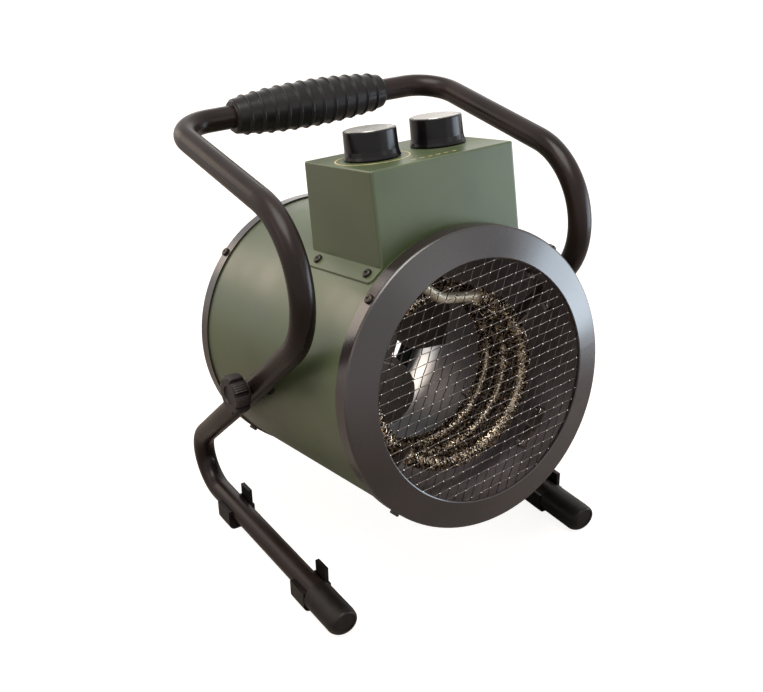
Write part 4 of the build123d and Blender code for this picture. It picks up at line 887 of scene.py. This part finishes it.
for name, turned_by in (("left", 180), ("right", 0)):
    lathe = bmesh.new()
    dots = [lathe.verts.new((x, r, 0)) for x, r in profile]
    lines = [lathe.edges.new(pair) for pair in zip(dots[:-1], dots[1:])]
    bmesh.ops.spin(
        lathe, geom=dots + lines, cent=(0, 0, 0), axis=(1, 0, 0), angle=2 * math.pi, steps=LATHE_STEPS,
    )
    bmesh.ops.remove_doubles(lathe, verts=lathe.verts, dist=0.001)
    bmesh.ops.dissolve_degenerate(lathe, edges=lathe.edges, dist=0.0005)
    bmesh.ops.recalc_face_normals(lathe, faces=lathe.faces)
    blank = bpy.data.meshes.new("clamp_blank")
    lathe.to_mesh(blank)
    lathe.free()
    knob_mesh = run(tree, {
        "Plain Radius": 13.0, "Rim Radius": 15.4, "Flutes": 8.0, "Flute Depth": 2.8, "Flute Edge": -0.35,
        "Ridges": 48.0, "Ridge Depth": 0.4, "Ridge Edge": 0.3, "Finish": clamp_nylon,
    }, data=blank)
    knob_mesh.shade_smooth()
    knob_mesh.set_sharp_from_angle(angle=SHARP_FROM)
    place = MILLIMETRES @ Matrix.Rotation(math.radians(turned_by), 4, "Z")
    place = Matrix.Translation((0, 0, PIVOT_Z * MM)) @ place @ Matrix.Translation((CLAMP_OUT_X, 0, 0))
    keep(
        f"fluted_clamp_{name}", knob_mesh, f"clamp_{name}", place=place,
        instead_of=[f"clamp_knob_{name}"],
    )

# %% [markdown]
# ## The grip
# The grip is blow moulded soft plastic.  It swells towards the middle of the hand
# and carries twelve sharp low rings, and the two halves of its mould leave a fine
# crease along it.  It was pushed on a little left of the middle.  The shape follows
# one rule, so it is a tube along X whose radius is worked out at each station: the
# swell, plus a bump wherever a ring is near, less a rounding at both ends.

# %% Grip tree
GRIP_Y = 120.0
GRIP_Z = 354.5
GRIP_LEN = 145.0
GRIP_SHIFT = -2.5
GRIP_END_R = 15.3
GRIP_MID_R = 20.2
GRIP_RINGS = 12
RING_RISE = 1.3
RING_HALF_W = 1.7
tree, given = grow(
    "ringed_grip",
    [
        ("Length", "Float"), ("End Radius", "Float"), ("Middle Radius", "Float"), ("Ring Pitch", "Float"),
        ("Ring Rise", "Float"), ("Ring Half Width", "Float"), ("Crest Half Width", "Float"),
        ("Rings From", "Float"), ("Rings Full", "Float"), ("Rounding Length", "Float"),
        ("Rounding Depth", "Float"), ("Finish", "Material"),
    ],
)
half = add(tree, "ShaderNodeMath", {0: given["Length"], 1: 0.5}, operation="MULTIPLY")
minus = add(tree, "ShaderNodeMath", {0: half, 1: -1.0}, operation="MULTIPLY")
left_end = add(tree, "ShaderNodeCombineXYZ", {"X": minus})
right_end = add(tree, "ShaderNodeCombineXYZ", {"X": half})
axis = add(tree, "GeometryNodeCurvePrimitiveLine", {"Start": left_end, "End": right_end})
axis = add(tree, "GeometryNodeResampleCurve", {"Curve": axis, "Count": 501})
spot = add(tree, "GeometryNodeInputPosition")
x = add(tree, "ShaderNodeSeparateXYZ", {0: spot}).outputs["X"]
share = add(tree, "ShaderNodeMath", {0: x, 1: half}, operation="DIVIDE")
share = add(tree, "ShaderNodeMath", {0: share, 1: 2.0}, operation="POWER")
share = add(tree, "ShaderNodeMath", {0: 1.0, 1: share}, operation="SUBTRACT")
swell = add(
    tree, "ShaderNodeMath", {0: given["Middle Radius"], 1: given["End Radius"]}, operation="SUBTRACT",
)
swell = add(tree, "ShaderNodeMath", {0: swell, 1: share, 2: given["End Radius"]}, operation="MULTIPLY_ADD")
swell = add(tree, "ShaderNodeMath", {0: swell, 1: given["Ring Rise"]}, operation="SUBTRACT")
near = add(tree, "ShaderNodeMath", {0: x, 1: given["Ring Pitch"]}, operation="DIVIDE")
near = add(tree, "ShaderNodeMath", {0: near}, operation="FRACT")
near = add(tree, "ShaderNodeMath", {0: near, 1: 1.0}, operation="ADD")
near = add(tree, "ShaderNodeMath", {0: near}, operation="FRACT")
near = add(tree, "ShaderNodeMath", {0: near, 1: 0.5}, operation="SUBTRACT")
near = add(tree, "ShaderNodeMath", {0: near}, operation="ABSOLUTE")
near = add(tree, "ShaderNodeMath", {0: near, 1: given["Ring Pitch"]}, operation="MULTIPLY")
bump = add(
    tree, "ShaderNodeMapRange",
    {"Value": near, "From Min": given["Ring Half Width"], "From Max": given["Crest Half Width"]},
    interpolation_type="SMOOTHSTEP",
)
plain = add(tree, "ShaderNodeMath", {0: x}, operation="ABSOLUTE")
plain = add(tree, "ShaderNodeMath", {0: half, 1: plain}, operation="SUBTRACT")
inside = add(
    tree, "ShaderNodeMapRange",
    {"Value": plain, "From Min": given["Rings From"], "From Max": given["Rings Full"]},
)
rise = add(tree, "ShaderNodeMath", {0: bump, 1: inside}, operation="MULTIPLY")
radius = add(tree, "ShaderNodeMath", {0: rise, 1: given["Ring Rise"], 2: swell}, operation="MULTIPLY_ADD")
cut = add(
    tree, "ShaderNodeMapRange",
    {"Value": plain, "From Max": given["Rounding Length"], "To Min": given["Rounding Depth"], "To Max": 0.0},
    interpolation_type="SMOOTHSTEP",
)
radius = add(tree, "ShaderNodeMath", {0: radius, 1: cut}, operation="SUBTRACT")
section = add(tree, "GeometryNodeCurvePrimitiveCircle", {"Resolution": 96, "Radius": 1.0})
skin = add(
    tree, "GeometryNodeCurveToMesh",
    {"Curve": axis, "Profile Curve": section, "Scale": radius, "Fill Caps": True},
)
round_look = add(tree, "GeometryNodeSetShadeSmooth", {"Geometry": skin})
close_tree(tree, round_look, given["Finish"])

# %% Mould the grip
grip_mesh = run(tree, {
    "Length": GRIP_LEN, "End Radius": GRIP_END_R, "Middle Radius": GRIP_MID_R,
    "Ring Pitch": GRIP_LEN / (GRIP_RINGS + 1), "Ring Rise": RING_RISE, "Ring Half Width": RING_HALF_W,
    "Crest Half Width": 0.25, "Rings From": 6.5, "Rings Full": 7.5, "Rounding Length": 2.4,
    "Rounding Depth": 1.6, "Finish": grip_plastic,
})
print("grip radius", round(max(math.hypot(v.co.y, v.co.z) for v in grip_mesh.vertices), 2), "mm")
SEAM_ANGLE = math.radians(-62)
SEAM_HALF_W = 1.4
SEAM_DEPTH = 0.03
for vertex in grip_mesh.vertices:
    angle = math.atan2(vertex.co.z, -vertex.co.y)
    off_seam = abs((angle - SEAM_ANGLE + math.pi) % (2 * math.pi) - math.pi) * GRIP_MID_R
    if off_seam < SEAM_HALF_W:
        shrink = 1 - SEAM_DEPTH * (1 - off_seam / SEAM_HALF_W)
        vertex.co.y *= shrink
        vertex.co.z *= shrink
place = MILLIMETRES @ Matrix.Translation((GRIP_SHIFT, GRIP_Y, GRIP_Z))
keep("ringed_grip", grip_mesh, "stand", place=place, instead_of=["hand_grip"])

# %% [markdown]
# ## Print and pointers
# The box's top carries a little gold print: a thin ring round the left knob and a
# row of short dashes near the front edge, between the two knobs.  The print stands
# less than a tenth of a millimetre proud of the enamel.  Each knob has a white
# pointer in its disc's notch.  These are flat shapes, so small boxes and a ring
# do, with the ink's own slight texture.

# %% Inks
gold_ink = surface("screen_printed_gold_ink", "#c2aa6c", "#dcc78f", 0.2, 0.42, 0.4, 0.006, patch=2.0)
white_ink = surface("white_pointer_paint", "#c9c8c2", "#e4e3dd", 0.0, 0.45, 0.5, 0.006, patch=2.0)

# %% Ring and dashes
PRINT_RING_R = 28.3
PRINT_LINE_W = 1.1
PRINT_COAT = 0.1
PRINT_LIFT = 0.02
DASH_LEN = 4.0
DASH_PITCH = 7.2
DASH_X = -19.5
DASH_Y = -96.0
tree, given = grow(
    "printed_ring",
    [("Radius", "Float"), ("Line", "Float"), ("Coat", "Float"), ("Finish", "Material")],
)
circle = add(tree, "GeometryNodeCurvePrimitiveCircle", {"Resolution": 96, "Radius": given["Radius"]})
section = add(
    tree, "GeometryNodeCurvePrimitiveQuadrilateral", {"Width": given["Line"], "Height": given["Coat"]},
)
line = add(tree, "GeometryNodeCurveToMesh", {"Curve": circle, "Profile Curve": section})
close_tree(tree, line, given["Finish"])
ring_print = run(
    tree, {"Radius": PRINT_RING_R, "Line": PRINT_LINE_W, "Coat": PRINT_COAT, "Finish": gold_ink},
)
ring_print.transform(Matrix.Translation((KNOB_X[0], KNOB_Y, BOX_TOP + PRINT_LIFT)))

tree, given = grow(
    "printed_dashes",
    [("Count", "Int"), ("Pitch", "Float"), ("Dash", "Vector"), ("Finish", "Material")],
)
stride = add(tree, "ShaderNodeCombineXYZ", {"X": given["Pitch"]})
spots = add(tree, "GeometryNodeMeshLine", {"Count": given["Count"], "Offset": stride})
dash = add(tree, "GeometryNodeMeshCube", {"Size": given["Dash"]})
row = add(tree, "GeometryNodeInstanceOnPoints", {"Points": spots, "Instance": dash})
close_tree(tree, row, given["Finish"])
dash_size = (DASH_LEN, PRINT_LINE_W, PRINT_COAT)
dashes = run(tree, {"Count": 6, "Pitch": DASH_PITCH, "Dash": dash_size, "Finish": gold_ink})
dashes.transform(Matrix.Translation((DASH_X, DASH_Y, BOX_TOP + PRINT_LIFT)))
keep("box_print", joined([ring_print, dashes]), "drum")

# %% Pointers
DISC_R = 18.9
POINTER_TURNS = (-15.0, -40.0)
POINTER_SIZE = (4.8, 3.2, 1.0)
POINTER_IN = 2.5
POINTER_EDGE = 0.25
POINTER_SINK = 0.25
for name, x, turned_by in zip(("thermostat", "selector"), KNOB_X, POINTER_TURNS):
    bar = bmesh.new()
    bmesh.ops.create_cube(bar, size=1.0)
    bmesh.ops.scale(bar, verts=bar.verts, vec=POINTER_SIZE)
    bmesh.ops.bevel(bar, geom=list(bar.edges), offset=POINTER_EDGE, segments=2, affect="EDGES", profile=0.5)
    bmesh.ops.translate(bar, verts=bar.verts, vec=(DISC_R - POINTER_IN, 0, 0))
    mesh = bpy.data.meshes.new("pointer")
    bar.to_mesh(mesh)
    bar.free()
    mesh.materials.append(white_ink)
    at_knob = Matrix.Translation((x, KNOB_Y, BOX_TOP + KNOB_H - POINTER_SINK))
    mesh.transform(at_knob @ Matrix.Rotation(math.radians(turned_by), 4, "Z"))
    keep(f"{name}_pointer", mesh, name)
